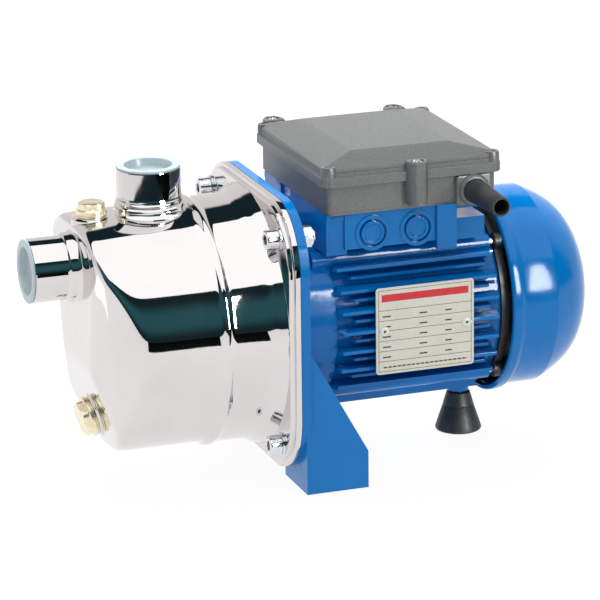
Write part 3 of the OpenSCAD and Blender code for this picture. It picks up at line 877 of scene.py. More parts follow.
class Repeat:
    """Geometry Nodes that set one template on every point and face it along the point's vector."""

    FACING = "facing"
    SEED = 7

    def __init__(self) -> None:
        """Builds the tree once."""
        tree = bpy.data.node_groups.new("set_on_points", "GeometryNodeTree")
        face = tree.interface
        kinds = {"Points": "Geometry", "Template": "Object", "Finish": "Material",
                 "Size": "Float", "Spin": "Float", "Seed": "Int"}
        self.inputs = {
            name: face.new_socket(name, in_out="INPUT", socket_type=f"NodeSocket{kind}").identifier
            for name, kind in kinds.items()
        }
        face.new_socket("Pieces", in_out="OUTPUT", socket_type="NodeSocketGeometry")
        self.tree = tree
        given = tree.nodes.new("NodeGroupInput")
        result = tree.nodes.new("NodeGroupOutput")
        shape = self._add("GeometryNodeObjectInfo", {"transform_space": "ORIGINAL"})
        facing = self._add("GeometryNodeInputNamedAttribute", {"data_type": "FLOAT_VECTOR"})
        facing.inputs["Name"].default_value = self.FACING
        aim = self._add("FunctionNodeAlignRotationToVector", {"axis": "Z"})
        chance = self._add("FunctionNodeRandomValue", {"data_type": "FLOAT"})
        turn = self._add("FunctionNodeRotateRotation", {"rotation_space": "LOCAL"})
        about = self._add("FunctionNodeAxisAngleToRotation", {})
        place = self._add("GeometryNodeInstanceOnPoints", {})
        realize = self._add("GeometryNodeRealizeInstances", {})
        paint = self._add("GeometryNodeSetMaterial", {})
        wires = (
            (given, "Points", place, "Points"), (given, "Template", shape, "Object"),
            (shape, "Geometry", place, "Instance"), (facing, "Attribute", aim, "Vector"),
            (given, "Spin", chance, "Max"), (given, "Seed", chance, "Seed"),
            (chance, "Value", about, "Angle"), (aim, "Rotation", turn, "Rotation"),
            (about, "Rotation", turn, "Rotate By"), (turn, "Rotation", place, "Rotation"),
            (given, "Size", place, "Scale"), (place, "Instances", realize, "Geometry"),
            (realize, "Geometry", paint, "Geometry"), (given, "Finish", paint, "Material"),
            (paint, "Geometry", result, "Pieces"),
        )
        for source, output, target, socket in wires:
            tree.links.new(source.outputs[output], target.inputs[socket])

    def _add(self, kind: str, settings: dict[str, object]) -> bpy.types.Node:
        """Adds a node with its settings.

        Args:
            kind: the node's type.
            settings: its properties.

        Returns:
            The node.
        """
        made = self.tree.nodes.new(kind)
        for key, value in settings.items():
            setattr(made, key, value)
        return made

    def set_out(self, shop: Shop, name: str, template: bpy.types.Object,
                spots: Sequence[Spot], facings: Sequence[Spot], slot: str, spin: float = 0.0
                ) -> bpy.types.Object:
        """Sets a template on spots.

        Args:
            shop: the shop that makes the piece.
            name: the piece's name.
            template: a template about the row origin, which is used up.
            spots: places in shaft millimetres.
            facings: the way the template's Z points at each place.
            slot: the record's slot.
            spin: the most that a copy turns about its own axis, in radians.

        Returns:
            A plain mesh object.
        """
        base = bpy.data.meshes.new(f"{name}_spots")
        base.from_pydata(shop.frame.metres(np.array(spots, float)).tolist(), [], [])
        way = base.attributes.new(self.FACING, "FLOAT_VECTOR", "POINT")
        way.data.foreach_set("vector", np.array(facings, np.float32).ravel())
        made = placed(name, base)
        tool = made.modifiers.new("repeat", "NODES")
        tool.node_group = self.tree
        given = {"Template": template, "Finish": FINISHES[slot].make(), "Size": 1.0,
                 "Spin": spin, "Seed": self.SEED}
        for key, value in given.items():
            tool[self.inputs[key]] = value
        shop.bake(made)
        bpy.data.objects.remove(template)
        shop.smooth(made)
        return made


def upright(ring: Ring) -> Ring:
    """Stands a level ring up, so that its heights run along y and its depth along z.

    Args:
        ring: the level ring.

    Returns:
        The upright ring.
    """
    return ring[:, [0, 2, 1]]


def joined(name: str, parts: Sequence[bpy.types.Object]) -> bpy.types.Object:
    """Joins meshes without changing them.

    Args:
        name: the joined object's name.
        parts: the objects, which are used up.

    Returns:
        The joined object.
    """
    work = bmesh.new()
    for part in parts:
        work.from_mesh(part.data)
    mesh = bpy.data.meshes.new(name)
    work.to_mesh(mesh)
    work.free()
    for part in parts:
        bpy.data.objects.remove(part)
    return placed(name, mesh)


def inward(profile: Sequence[Pair], wall: float) -> list[Pair]:
    """Moves a profile in by a wall's thickness.

    Args:
        profile: outer points as (along, out), in rising order along.
        wall: the thickness.

    Returns:
        The inner points in the same order.
    """
    points = np.array(profile)
    slope = np.gradient(points, axis=0)
    slope /= np.linalg.norm(slope, axis=1)[:, None]
    inner = points + wall * np.stack([slope[:, 1], -slope[:, 0]], 1)
    inner[:, 1] = np.maximum(inner[:, 1], 0.3)
    return [tuple(p) for p in inner.tolist()]


@dataclass(frozen=True)
class Thread:
    """A screw thread cut as rings whose radius follows a helix."""

    radius: float
    depth: float
    pitch: float
    steps_per_turn: int = 6

    def rings(self, axle: Axle, start: float, end: float) -> list[Ring]:
        """Rings from one place to another.

        Args:
            axle: the thread's line.
            start: where it starts along the line.
            end: where it ends.

        Returns:
            The rings in order.
        """
        count = max(2, round(abs(end - start) / self.pitch * self.steps_per_turn))
        rings = []
        for along in np.linspace(start, end, count):
            phase = (along / self.pitch - axle.angles() / TURN) % 1.0
            fade = min(1.0, abs(along - start) / self.pitch, abs(along - end) / self.pitch)
            rings.append(axle.ring(along, self.radius - self.depth * fade * np.abs(2 * phase - 1)))
        return rings


# ------------------------------------------------------------------------- hydraulics


@dataclass(frozen=True)
class Plane:
    """A flat face given by a point on it and the way it faces."""

    point: Spot
    facing: Spot

    def beyond(self, points: np.ndarray) -> np.ndarray:
        """How far points lie beyond the plane.

        Args:
            points: the points.

        Returns:
            The distances.
        """
        normal = np.array(self.facing) / np.linalg.norm(self.facing)
        return (points - np.array(self.point)) @ normal


@dataclass(frozen=True)
class Hole:
    """A round hole through the casing."""

    axle: Axle
    radius: float
    length: float


@dataclass(frozen=True)
class Casing:
    """Pressed steel casing: a faceted nose on a barrel, a bead, and a square flange."""

    shop: Shop
    barrel: float = 80.0
    wall: float = 1.6
    middle: float = -60.0
    face_blend: float = 0.5
    edge_blend: float = 2.4
    steps: int = 256
    nose_steps: int = 78
    neck: tuple[Pair, ...] = (
        (-52.0, 80.0), (-49.6, 80.3), (-48.0, 81.4), (-46.6, 82.6), (-45.2, 82.9), (-43.9, 82.3),
        (-42.6, 81.5), (-40.0, 81.3), (-30.0, 81.3), (-22.0, 81.4), (-18.6, 81.8), (-16.2, 82.6),
        (-14.0, 83.7), (-11.6, 84.8), (-9.4, 85.6),
    )
    face_half: float = 87.0
    face_corner: float = 41.5
    flange_half: float = 90.0
    flange_corner: float = 43.0
    mouth: float = 81.0
    screw_place: float = 69.0
    screw_hole: float = 4.4
    planes: tuple[Plane, ...] = (
        Plane((-124.2, 0.0, 30.0), (-1.0, 0.0, -0.018)),
        Plane((-121.0, 0.0, -28.0), (-0.964, 0.0, -0.267)),
        Plane((-125.4, 30.0, 0.0), (-0.955, 0.285, -0.07)),
        Plane((-125.4, -30.0, 0.0), (-0.955, -0.285, -0.07)),
        Plane((-114.6, 64.0, 0.0), (-0.80, 0.60, -0.03)),
        Plane((-114.6, -64.0, 0.0), (-0.80, -0.60, -0.03)),
    )
    land: Plane = Plane((-105.0, 0.0, 77.9), (-0.115, 0.0, 0.993))
    holes: tuple[Hole, ...] = (
        Hole(Axle((-140.0, 0, 45.0), (1, 0, 0), 48), 15.4, 36),
        Hole(Axle((-72.0, 0, 66.0), (0, 0, 1), 48), 15.4, 26),
        Hole(Axle((-110.7, 0, 66.0), (0, 0, 1), 32), 7.0, 26),
        Hole(Axle((-98.7, 0, -53.4), (-0.966, 0, -0.259), 32), 8.4, 26),
    )

    @staticmethod
    def _soft_max(values: Sequence[np.ndarray], blend: float) -> np.ndarray:
        """A maximum that rounds the edges where two values meet.

        Args:
            values: the values.
            blend: how wide the rounding is.

        Returns:
            The rounded maximum.
        """
        stack = np.stack(values) / blend
        top = stack.max(0)
        return blend * (top + np.log(np.exp(stack - top).sum(0)))

    def outside(self, points: np.ndarray) -> np.ndarray:
        """How far points lie outside the nose.

        Args:
            points: the points.

        Returns:
            The distances, below zero inside.
        """
        face = self._soft_max([plane.beyond(points) for plane in self.planes], self.face_blend)
        land = self.land.beyond(points)
        round_wall = np.hypot(points[..., 1], points[..., 2]) - self.barrel
        return self._soft_max([face, land, round_wall], self.edge_blend)

    def nose(self, inset: float) -> list[Ring]:
        """Rings over the nose.

        Args:
            inset: how far inside the outer face they lie.

        Returns:
            Rings from the front's middle to the barrel.
        """
        lean = np.linspace(math.radians(0.8), math.pi / 2, self.nose_steps)[:, None]
        turn = Axle((0, 0, 0), (1, 0, 0), self.steps).angles()[None, :]
        way = np.stack([
            np.broadcast_to(-np.cos(lean), (self.nose_steps, self.steps)),
            np.sin(lean) * np.cos(turn),
            np.sin(lean) * np.sin(turn),
        ], -1)
        start = np.array([self.middle, 0.0, 0.0])
        low = np.full(way.shape[:2], 20.0)
        high = np.full(way.shape[:2], 160.0)
        for _ in range(40):
            half = (low + high) / 2
            out = self.outside(start + way * half[..., None]) > -inset
            high, low = np.where(out, half, high), np.where(out, low, half)
        return list(start + way * ((low + high) / 2)[..., None])

    def flange(self, axle: Axle) -> list[Ring]:
        """Rings over the flange from the flare to the back of its rim.

        Args:
            axle: the shaft's line.

        Returns:
            The rings.
        """
        turn = axle.angles()
        face = rounded_square(turn, self.face_half, self.face_corner)
        rim = rounded_square(turn, self.flange_half, self.flange_corner)
        flare = self.neck[-1][1]
        room = np.maximum(0.05, face - 1.6 - flare)
        profile = [(-7.9, flare + 0.7), (-7.2, np.minimum(flare + 1.0, face - 1.0))]
        profile += [(-7.0, flare + 0.9 + share * room) for share in (0.12, 0.3, 0.5, 0.7, 0.88)]
        profile += [(-7.0, face - 0.9), (-6.7, face - 0.3), (-6.1, face), (-4.5, face),
                    (-4.1, face + 0.4), (-4.0, face + 1.0), (-4.0, rim - 0.9),
                    (-3.7, rim - 0.25), (-3.1, rim), (-0.5, rim), (0.0, rim - 0.5)]
        return axle.rings(profile)

    def make(self) -> None:
        """Builds the shell with its holes."""
        axle = Axle((0.0, 0.0, 0.0), (1.0, 0.0, 0.0), self.steps)
        outer = self.nose(0.0) + axle.rings(self.neck) + self.flange(axle)
        back = axle.rings([(0.0, self.mouth + 0.4), (-0.5, self.mouth)])
        inner = axle.rings([(a, r - self.wall) for a, r in self.neck[:-3]])[::-1]
        rings = outer + back + inner + self.nose(self.wall)[::-1]
        shell = self.shop.loft("casing_shell", rings)
        place = self.screw_place
        bolts = [Hole(Axle((-12.0, y, z), (1, 0, 0), 24), self.screw_hole, 15)
                 for y in (-place, place) for z in (-place, place)]
        drills = [
            self.shop.turned("drill", hole.axle, ((0, hole.radius), (hole.length, hole.radius)))
            for hole in (*self.holes, *bolts)
        ]
        self.shop.cut(shell, joined("drills", drills), 40.0)
        self.shop.dress(shell, "polished_steel", replaces=("pump_casing",))


@dataclass(frozen=True)
class Port:
    """A threaded neck with rings at its foot and a push-in cap."""

    shop: Shop
    name: str
    axle: Axle
    length: float
    foot: tuple[Pair, ...]
    body: Body
    outer: float = 21.0
    bore: float = 15.0
    lead_in: float = 17.25
    lead_depth: float = 6.5
    thread: Thread = Thread(16.6, 1.1, 2.309)
    thread_depth: float = 18.0
    cap_rim: float = 1.5
    cap_dish: float = 15.3
    cap_plug: float = 16.9
    cap_depth: float = 5.5

    def make(self) -> None:
        """Builds the neck and its cap."""
        end, axle = self.length, self.axle
        shoulder = end - self.lead_depth
        lip = [(end - 0.9, self.outer), (end - 0.3, self.outer - 0.15), (end, self.outer - 0.6),
               (end, self.lead_in + 0.7), (end - 0.4, self.lead_in + 0.15),
               (end - 1.0, self.lead_in), (shoulder + 0.3, self.lead_in),
               (shoulder, self.thread.radius + 0.1)]
        inside = self.bore + 0.2
        rings = axle.rings([*self.foot, *lip])
        rings += self.thread.rings(axle, shoulder - 0.2, shoulder - self.thread_depth)
        rings += axle.rings([(shoulder - self.thread_depth - 0.6, inside),
                             (self.foot[0][0], inside)])
        neck = self.shop.loft(f"{self.name}_neck", rings, closed=True)
        self.shop.dress(neck, "polished_steel", replaces=(f"{self.name}_port",))
        self.cap()

    def cap(self) -> None:
        """Builds the soft cap with its sunk middle."""
        start, rim = self.length, self.length + self.cap_rim
        floor = self.length - self.cap_depth + 1.5
        profile = [
            (floor + 0.25, 0.3), (floor + 0.25, 5.0), (floor, 6.0), (floor, self.cap_dish - 1.4),
            (floor + 0.5, self.cap_dish - 0.5), (floor + 1.4, self.cap_dish - 0.1),
            (rim - 0.7, self.cap_dish + 0.3), (rim - 0.2, self.cap_dish + 0.6),
            (rim, self.cap_dish + 1.2), (rim, self.outer - 0.7), (rim - 0.25, self.outer - 0.2),
            (rim - 0.7, self.outer), (start + 0.3, self.outer), (start + 0.05, self.outer - 0.3),
            (start + 0.05, self.cap_plug), (start - self.cap_depth + 0.9, self.cap_plug - 0.1),
            (start - self.cap_depth + 0.2, self.cap_plug - 0.5),
            (start - self.cap_depth, self.cap_plug - 1.1), (start - self.cap_depth, 0.3),
        ]
        cap = self.shop.turned(f"{self.name}_plastic_cap", self.axle, profile)
        self.shop.dress(cap, "clear_plastic", self.body, (f"{self.name}_cap",))


@dataclass(frozen=True)
class Plug:
    """A brass hexagon plug on a soft washer."""

    shop: Shop
    name: str
    axle: Axle
    body: Body
    boss: tuple[Pair, ...]
    washer: float
    washer_tall: float
    collar: float
    collar_tall: float
    flat: float
    hex_tall: float
    stub: float
    stub_long: float

    def make(self) -> None:
        """Builds the boss, the washer and the plug."""
        shop, axle = self.shop, self.axle
        boss = shop.turned(f"{self.name}_boss", axle, self.boss, closed=True)
        shop.dress(boss, "polished_steel")
        rim, tall = self.washer, self.washer_tall
        ring = [(0.0, self.stub + 0.3), (0.0, rim - 0.3), (0.3, rim), (tall - 0.3, rim),
                (tall, rim - 0.3), (tall, self.stub + 0.3)]
        washer = shop.turned(f"{self.name}_sealing_washer", axle, ring, closed=True)
        shop.dress(washer, "brass", self.body, (f"{self.name}_washer",))
        seat = tall
        top = seat + self.collar_tall
        end = top + self.hex_tall
        half = self.flat / 2
        worn = np.minimum(axle.polygon(half), half * 1.09)
        rings = axle.rings([(-self.stub_long, 0.3), (-self.stub_long, self.stub - 1.1)])
        rings += Thread(self.stub, 0.6, 1.6).rings(axle, -self.stub_long + 0.6, seat - 0.4)
        rings += axle.rings([
            (seat, self.stub), (seat, self.collar - 0.4), (seat + 0.4, self.collar),
            (top - 0.6, self.collar), (top - 0.15, self.collar - 0.45), (top, worn + 0.25),
            (top + 0.3, worn), (end - 1.0, worn), (end - 0.35, np.minimum(worn, half + 0.1)),
            (end, half - 0.7), (end, 0.3)])
        plug = shop.loft(f"{self.name}_brass_plug", rings)
        shop.dress(plug, "brass", self.body, (f"{self.name}_plug",))


@dataclass(frozen=True)
class Fasteners:
    """Socket screws, washers and nuts round the casing joint."""

    shop: Shop
    repeat: Repeat
    place: float = 69.0
    head: float = 6.5
    head_tall: float = 8.0
    key: float = 6.0
    ridges: int = 32
    shank: float = 4.0
    screw_long: float = 25.0
    washer: float = 7.5
    washer_thick: float = 1.6
    nut_flat: float = 13.0
    nut_tall: float = 6.5
    head_seat: float = -8.6
    nut_seat: float = 7.6

    def corners(self, x: float) -> list[Spot]:
        """The four screw places.

        Args:
            x: place along the shaft.

        Returns:
            The four points.
        """
        return [(x, y, z) for y in (-self.place, self.place) for z in (-self.place, self.place)]

    def screw(self, bench: Shop) -> bpy.types.Object:
        """Builds a socket-head screw that stands on z = 0.

        Args:
            bench: a shop with no offset.

        Returns:
            The template.
        """
        head, tall, shank, below = self.head, self.head_tall, self.shank, self.screw_long
        axle = Axle((0, 0, 0), (0, 0, 1), 96)
        ridge = head - 0.16 * (0.5 + 0.5 * np.cos(axle.angles() * self.ridges))
        socket = axle.polygon(self.key / 2)
        rings = axle.rings([(-below, 0.2), (-below, shank - 0.6)])
        rings += Thread(shank, 0.45, 1.25).rings(axle, 0.5 - below, -0.6)
        rings += axle.rings([
            (0.0, shank), (0.0, head - 0.4), (0.4, head), (1.0, ridge), (tall - 1.5, ridge),
            (tall - 1.0, head), (tall - 0.3, head - 0.25), (tall, head - 0.9),
            (tall, socket + 0.45), (tall - 0.35, socket), (tall * 0.45, socket),
            (tall * 0.36, 0.2)])
        return bench.loft("screw_template", rings)

    def make(self) -> None:
        """Builds the joint's fasteners."""
        bench = Shop(Frame(0.0, 0.0))
        away, back = [(-1.0, 0.0, 0.0)] * 4, [(1.0, 0.0, 0.0)] * 4
        self.fasten("joint_socket_screws", self.screw(bench), self.corners(self.head_seat), away,
                    "casing_screws", TURN / 6)
        axle = Axle((0, 0, 0), (0, 0, 1), 48)
        thick, rim, hole = self.washer_thick, self.washer, self.shank + 0.3
        ring = [(0, hole), (0, rim - 0.2), (0.2, rim), (thick - 0.3, rim), (thick, rim - 0.3),
                (thick, hole)]
        washer = bench.turned("washer_template", axle, ring, closed=True)
        spots = self.corners(self.head_seat + thick) + self.corners(self.nut_seat - thick)
        self.fasten("joint_washers", washer, spots, away + back, "casing_washers")
        flats = axle.polygon(self.nut_flat / 2)
        worn = np.minimum(flats, self.nut_flat / 2 + 0.15)
        tall = self.nut_tall
        nut = bench.loft("nut_template", axle.rings([
            (0.0, hole), (0.0, worn), (0.7, flats), (tall - 0.7, flats), (tall, worn),
            (tall, hole + 0.5), (tall - 0.5, hole)]), closed=True)
        self.fasten("joint_nuts", nut, self.corners(self.nut_seat), back, "casing_nuts", TURN / 6)

    def fasten(self, name: str, template: bpy.types.Object, spots: Sequence[Spot],
               facings: Sequence[Spot], node: str, spin: float = 0.0) -> None:
        """Sets out one kind of fastener and dresses it in zinc.

        Args:
            name: the piece's name.
            template: one fastener about the row origin.
            spots: where they sit.
            facings: the way each points.
            node: the CAD node that they stand for.
            spin: the most that one turns about its own axis, in radians.
        """
        slot = "zinc_fasteners"
        made = self.repeat.set_out(self.shop, name, template, spots, facings, slot, spin)
        self.shop.dress(made, slot, replaces=(node,))


# ------------------------------------------------------------------------------ motor


@dataclass(frozen=True)
class Castings:
    """Painted castings, with every sharp edge rounded as a mould and thick paint leave it."""

    shop: Shop
    rounding: dict[str, float] = field(
        default_factory=lambda: {"bracket": 1.0, "motor_housing": 0.55, "knockout_plugs": 0.4}
    )

    def make(self) -> None:
        """Rounds each casting."""
        for node, width in self.rounding.items():
            made = self.shop.copy_node(f"{node}_casting", node)
            self.shop.bevel(made, width, 3 if width > 0.9 else 2)
            self.shop.dress(made, "blue_enamel", replaces=(node,))


@dataclass(frozen=True)
class FanCover:
    """Spun steel cover with a rolled rim and slots round its domed end."""

    shop: Shop
    front: float = 155.0
    rim: float = 70.0
    rim_end: float = 162.2
    drum: float = 67.0
    wall: float = 1.5
    dome: tuple[Pair, ...] = (
        (187.2, 67.0), (187.9, 66.85), (188.6, 66.5), (193.0, 64.4), (200.5, 60.4), (206.9, 56.0),
        (212.2, 50.6), (216.4, 44.5), (219.7, 37.5), (222.0, 29.0), (223.4, 20.0), (224.0, 10.0),
        (224.0, 0.3),
    )
    slots: int = 16
    slot_wide: float = 3.6
    slot_reach: Pair = (14.0, 36.0)
    slot_cut: Pair = (206.0, 230.0)

    def slot(self, index: int) -> bpy.types.Object:
        """One slot's cutter.

        Args:
            index: which slot.

        Returns:
            A closed object.
        """
        turn = TURN * index / self.slots
        half, (near, far) = self.slot_wide / 2, self.slot_reach
        outline = arc((far - half, 0), half, -90, 90, 6) + arc((near + half, 0), half, 90, 270, 6)
        flat = np.array(outline)
        y = flat[:, 0] * math.cos(turn) - flat[:, 1] * math.sin(turn)
        z = flat[:, 0] * math.sin(turn) + flat[:, 1] * math.cos(turn)
        ends = [np.stack([np.full(len(y), x), y, z], 1) for x in self.slot_cut]
        return self.shop.loft(f"slot_{index}", ends)

    def make(self) -> None:
        """Builds the cover."""
        axle = Axle((0.0, 0.0, 0.0), (1.0, 0.0, 0.0), 160)
        rim, start, stop = self.rim, self.front, self.rim_end
        outer = [(start + 0.05, rim - 1.5), (start + 0.3, rim - 0.6), (start + 1.0, rim - 0.1),
                 (start + 2.0, rim), (stop - 1.6, rim), (stop - 0.5, rim - 0.25),
                 (stop + 0.3, rim - 1.0), (stop + 0.9, rim - 2.0), (stop + 1.7, self.drum + 0.3),
                 (stop + 3.0, self.drum), (stop + 12.0, self.drum), *self.dome]
        inner = inward(outer, self.wall)
        inner[0] = (start + 0.05, outer[0][1] - self.wall)
        inner[-1] = (outer[-1][0] - self.wall, 0.3)
        shell = self.shop.turned("fan_cover_shell", axle, inner[::-1] + outer)
        slots = joined("slots", [self.slot(index) for index in range(self.slots)])
        self.shop.cut(shell, slots, 50.0)
        self.shop.dress(shell, "blue_enamel", replaces=("fan_cover",))


@dataclass(frozen=True)
class RubberFoot:
    """Moulded cone under the motor's far end."""

    shop: Shop
    x: float = 143.5
    ground: float = -99.0
    top: float = -72.0
    base: float = 15.7
    neck: float = 7.9
    groove: float = -81.0

    def make(self) -> None:
        """Builds the foot."""
        slope = (self.base - self.neck) / (self.top - self.ground)
        at_groove = self.neck + slope * (self.top - self.groove)
        profile = [
            (self.ground + 0.8, 0.3), (self.ground + 0.8, 8.0), (self.ground, 9.5),
            (self.ground, self.base - 1.6), (self.ground + 0.4, self.base - 0.6),
            (self.ground + 1.4, self.base), (self.ground + 2.8, self.base - 0.35),
            (self.groove - 0.9, at_groove + 0.1), (self.groove - 0.4, at_groove - 0.5),
            (self.groove + 0.2, at_groove - 0.6), (self.groove + 0.5, at_groove - 0.2),
            (self.top - 1.4, self.neck + 0.3), (self.top - 0.5, self.neck),
            (self.top - 0.1, self.neck - 0.7), (self.top, self.neck - 1.6), (self.top, 0.3),
        ]
        foot = self.shop.turned("rubber_foot_cone", Axle((self.x, 0, 0), (0, 0, 1), 80), profile)
        self.shop.dress(foot, "black_rubber", replaces=("rubber_foot",))


# ----------------------------------------------------------------------- terminal box


@dataclass(frozen=True)
class TerminalBox:
    """Grey box with a stepped lid shaped as a low pyramid, screw bosses and corner posts."""

    shop: Shop
    repeat: Repeat
    x: Pair = (27.0, 144.0)
    y: Pair = (-64.0, 64.0)
    top_x: Pair = (50.0, 118.0)
    top_y: Pair = (-45.6, 45.6)
    seam: float = 97.5
    band: float = 104.2
    shoulder: float = 109.7
    edge: float = 110.7
    peak: float = 116.0
    rim: float = 3.3
    step: float = 1.6
    wall: float = 2.4
    bosses: tuple[Spot, ...] = (
        (87.7, -68.0, 110.8), (36.8, 68.0, 112.2), (123.2, 68.0, 112.2)
    )
    boss_half: float = 6.8
    boss_foot: float = 81.2
    boss_wide: float = 1.04
    boss_sink: float = 2.2
    post_inset: float = 2.4

    def lid(self) -> bpy.types.Object:
        """Builds the lid's shell, hollow from below.

        Returns:
            The shell.
        """
        side = Panel(self.x, self.y, 4.0)
        top = Panel(self.top_x, self.top_y, 1.2)
        hollow = [top.ring(self.peak - self.wall, -1.6), side.ring(self.edge - self.wall, -4.0),
                  side.ring(self.seam, -self.wall)]
        wall = [(self.seam, self.rim - 0.5), (self.seam + 0.4, self.rim),
                (self.band - 0.7, self.rim), (self.band - 0.1, self.rim - 0.45),
                (self.band, self.step + 0.4), (self.band + 0.4, self.step),
                (self.band + 2.6, self.step), (self.band + 2.8, self.step - 0.3),
                (self.band + 3.1, self.step - 0.3), (self.band + 3.3, self.step),
                (self.shoulder - 0.8, self.step), (self.shoulder - 0.1, self.step - 0.6),
                (self.shoulder + 0.3, -0.4), (self.edge, -1.3)]
        outer = [side.ring(z, grow) for z, grow in wall]
        crown = [top.ring(self.peak - 0.35, 1.0), top.ring(self.peak - 0.05, 0.0),
                 top.ring(self.peak, -0.8)]
        return self.shop.loft("lid_shell", hollow + outer + crown)

    def boss(self, x: float, y: float, top: float) -> bpy.types.Object:
        """A faceted column for one lid screw.

        Args:
            x: its middle along the shaft.
            y: its middle across the shaft.
            top: how high it stands.

        Returns:
            The column.
        """
        half = self.boss_half
        away = math.copysign(1.0, y)
        outline = [(-half, -5.0), (-half, 0.4), (-half + 0.3, 1.2), (-3.5, half - 0.4),
                   (-2.9, half), (2.9, half), (3.5, half - 0.4), (half - 0.3, 1.2), (half, 0.4),
                   (half, -5.0)]
        plan = np.array([(px * self.boss_wide, py * away) for px, py in outline])
        low = self.boss_foot
        heights = ((low, 0.55), (low + 1.2, 0.78), (low + 3, 0.94), (low + 5, 1.0),
                   (top - 0.8, 1.0), (top, 0.9))
        rings = [np.column_stack([(x, y) + plan * share, np.full(len(plan), z)])
                 for z, share in heights]
        centre = np.array([x, y, 0.0])
        turns = [math.atan2(py, px) for px, py in plan]
        for z, radius in ((top, 4.6), (top - 2.4, 4.3)):
            rings.append(np.array([centre + (radius * math.cos(t), radius * math.sin(t), z)
                                   for t in turns]))
        return self.shop.loft(f"boss_{x:.0f}", rings)

    def post(self, x: float, y: float) -> bpy.types.Object:
        """A rounded corner post with a dimple.

        Args:
            x: its middle along the shaft.
            y: its middle across the shaft.

        Returns:
            The post.
        """
        axle = Axle((x, y, 0.0), (0.0, 0.0, 1.0), 40)
        top = self.edge + 0.1
        profile = [(self.seam + 0.1, 0.3), (self.seam + 0.1, 5.2), (self.seam + 0.6, 5.8),
                   (self.band - 0.6, 5.8), (self.band, 5.3), (self.shoulder - 0.6, 5.2),
                   (top - 0.1, 4.6), (top, 4.0), (top, 2.7), (top - 0.4, 2.4), (top - 2.2, 2.2),
                   (top - 2.2, 0.3)]
        return self.shop.turned(f"post_{x:.0f}_{y:.0f}", axle, profile)

    def make(self) -> None:
        """Builds the box, the lid and their small parts."""
        shop = self.shop
        box = shop.bevel(shop.copy_node("box_moulding", "terminal_box"), 0.6)
        shop.dress(box, "grey_plastic", replaces=("terminal_box",))
        inset = self.post_inset
        posts = [self.post(x, y) for x in (self.x[0] + inset, self.x[1] - inset)
                 for y in (self.y[0] + inset, self.y[1] - inset)]
        parts = [self.lid(), *posts, *[self.boss(*place) for place in self.bosses]]
        lid = joined("lid_moulding", parts)
        shop.smooth(lid, 30.0)
        shop.dress(lid, "grey_plastic", replaces=("terminal_box_lid",))
        self.screws()

    def screws(self) -> None:
        """Builds the three lid screws."""
        bench = Shop(Frame(0.0, 0.0))
        axle = Axle((0, 0, 0), (0, 0, 1), 48)
        cross = 0.9 + 1.3 * np.abs(np.cos(2 * axle.angles())) ** 8
        template = bench.loft("lid_screw_template", axle.rings([
            (-14.0, 0.2), (-14.0, 1.6), (0.0, 1.6), (0.0, 3.7), (0.5, 4.0), (1.3, 3.7),
            (1.9, 2.9), (2.1, cross + 0.1), (0.9, cross * 0.7), (0.8, 0.1)]))
        spots = [(x, y, top - self.boss_sink) for x, y, top in self.bosses]
        made = self.repeat.set_out(self.shop, "lid_pan_screws", template, spots,
                                   [(0, 0, 1)] * len(spots), "zinc_fasteners", TURN / 4)
        self.shop.dress(made, "zinc_fasteners", replaces=("lid_screws",))


@dataclass(frozen=True)
class CableEntry:
    """Square gland plate with a round collar, and the tapered sleeve."""

    shop: Shop
    x: float = 127.3
    z: float = 87.2
    face: float = -64.0
    half_wide: float = 12.0
    half_tall: float = 10.0
    plate: float = 3.2
    collar: float = 10.4
    sleeve_start: float = -68.0
    sleeve_end: float = -113.5
    thick_end: float = 8.0
    thin_end: float = 6.3
    bore: float = 5.0

    def make(self) -> None:
        """Builds the gland and the sleeve."""
        shop = self.shop
        panel = Panel((self.x - self.half_wide, self.x + self.half_wide),
                      (self.z - self.half_tall, self.z + self.half_tall), 2.0)
        front = self.face - self.plate
        steps = ((self.face + 0.4, 0.0), (front + 0.8, 0.0), (front + 0.2, -0.25), (front, -0.9))
        flat = shop.loft("gland_plate", [upright(panel.ring(y, grow)) for y, grow in steps])
        axle = Axle((self.x, 0.0, self.z), (0.0, -1.0, 0.0), 64)
        near, out = -self.sleeve_start, self.collar
        inside = self.thick_end + 0.1
        ring = [(-front - 0.3, inside), (-front - 0.3, out + 0.4), (-front + 0.5, out),
                (near + 0.6, out - 0.3), (near + 1.4, out - 1.0), (near + 1.8, out - 1.9),
                (near + 1.8, inside)]
        collar = shop.turned("gland_collar", axle, ring, closed=True)
        gland = joined("cable_gland_moulding", [flat, collar])
        shop.smooth(gland)
        shop.dress(gland, "grey_plastic", replaces=("cable_gland",))
        end = -self.sleeve_end
        profile = [(near, self.bore), (near, self.thick_end), (near + 10, self.thick_end - 0.3),
                   (end - 1.0, self.thin_end + 0.1), (end - 0.3, self.thin_end - 0.15),
                   (end, self.thin_end - 0.5), (end, self.bore + 0.25), (end - 0.3, self.bore),
                   (end - 20, self.bore)]
        sleeve = shop.turned("cable_sleeve_taper", axle, profile, closed=True)
        shop.dress(sleeve, "black_rubber", replaces=("cable_sleeve",))


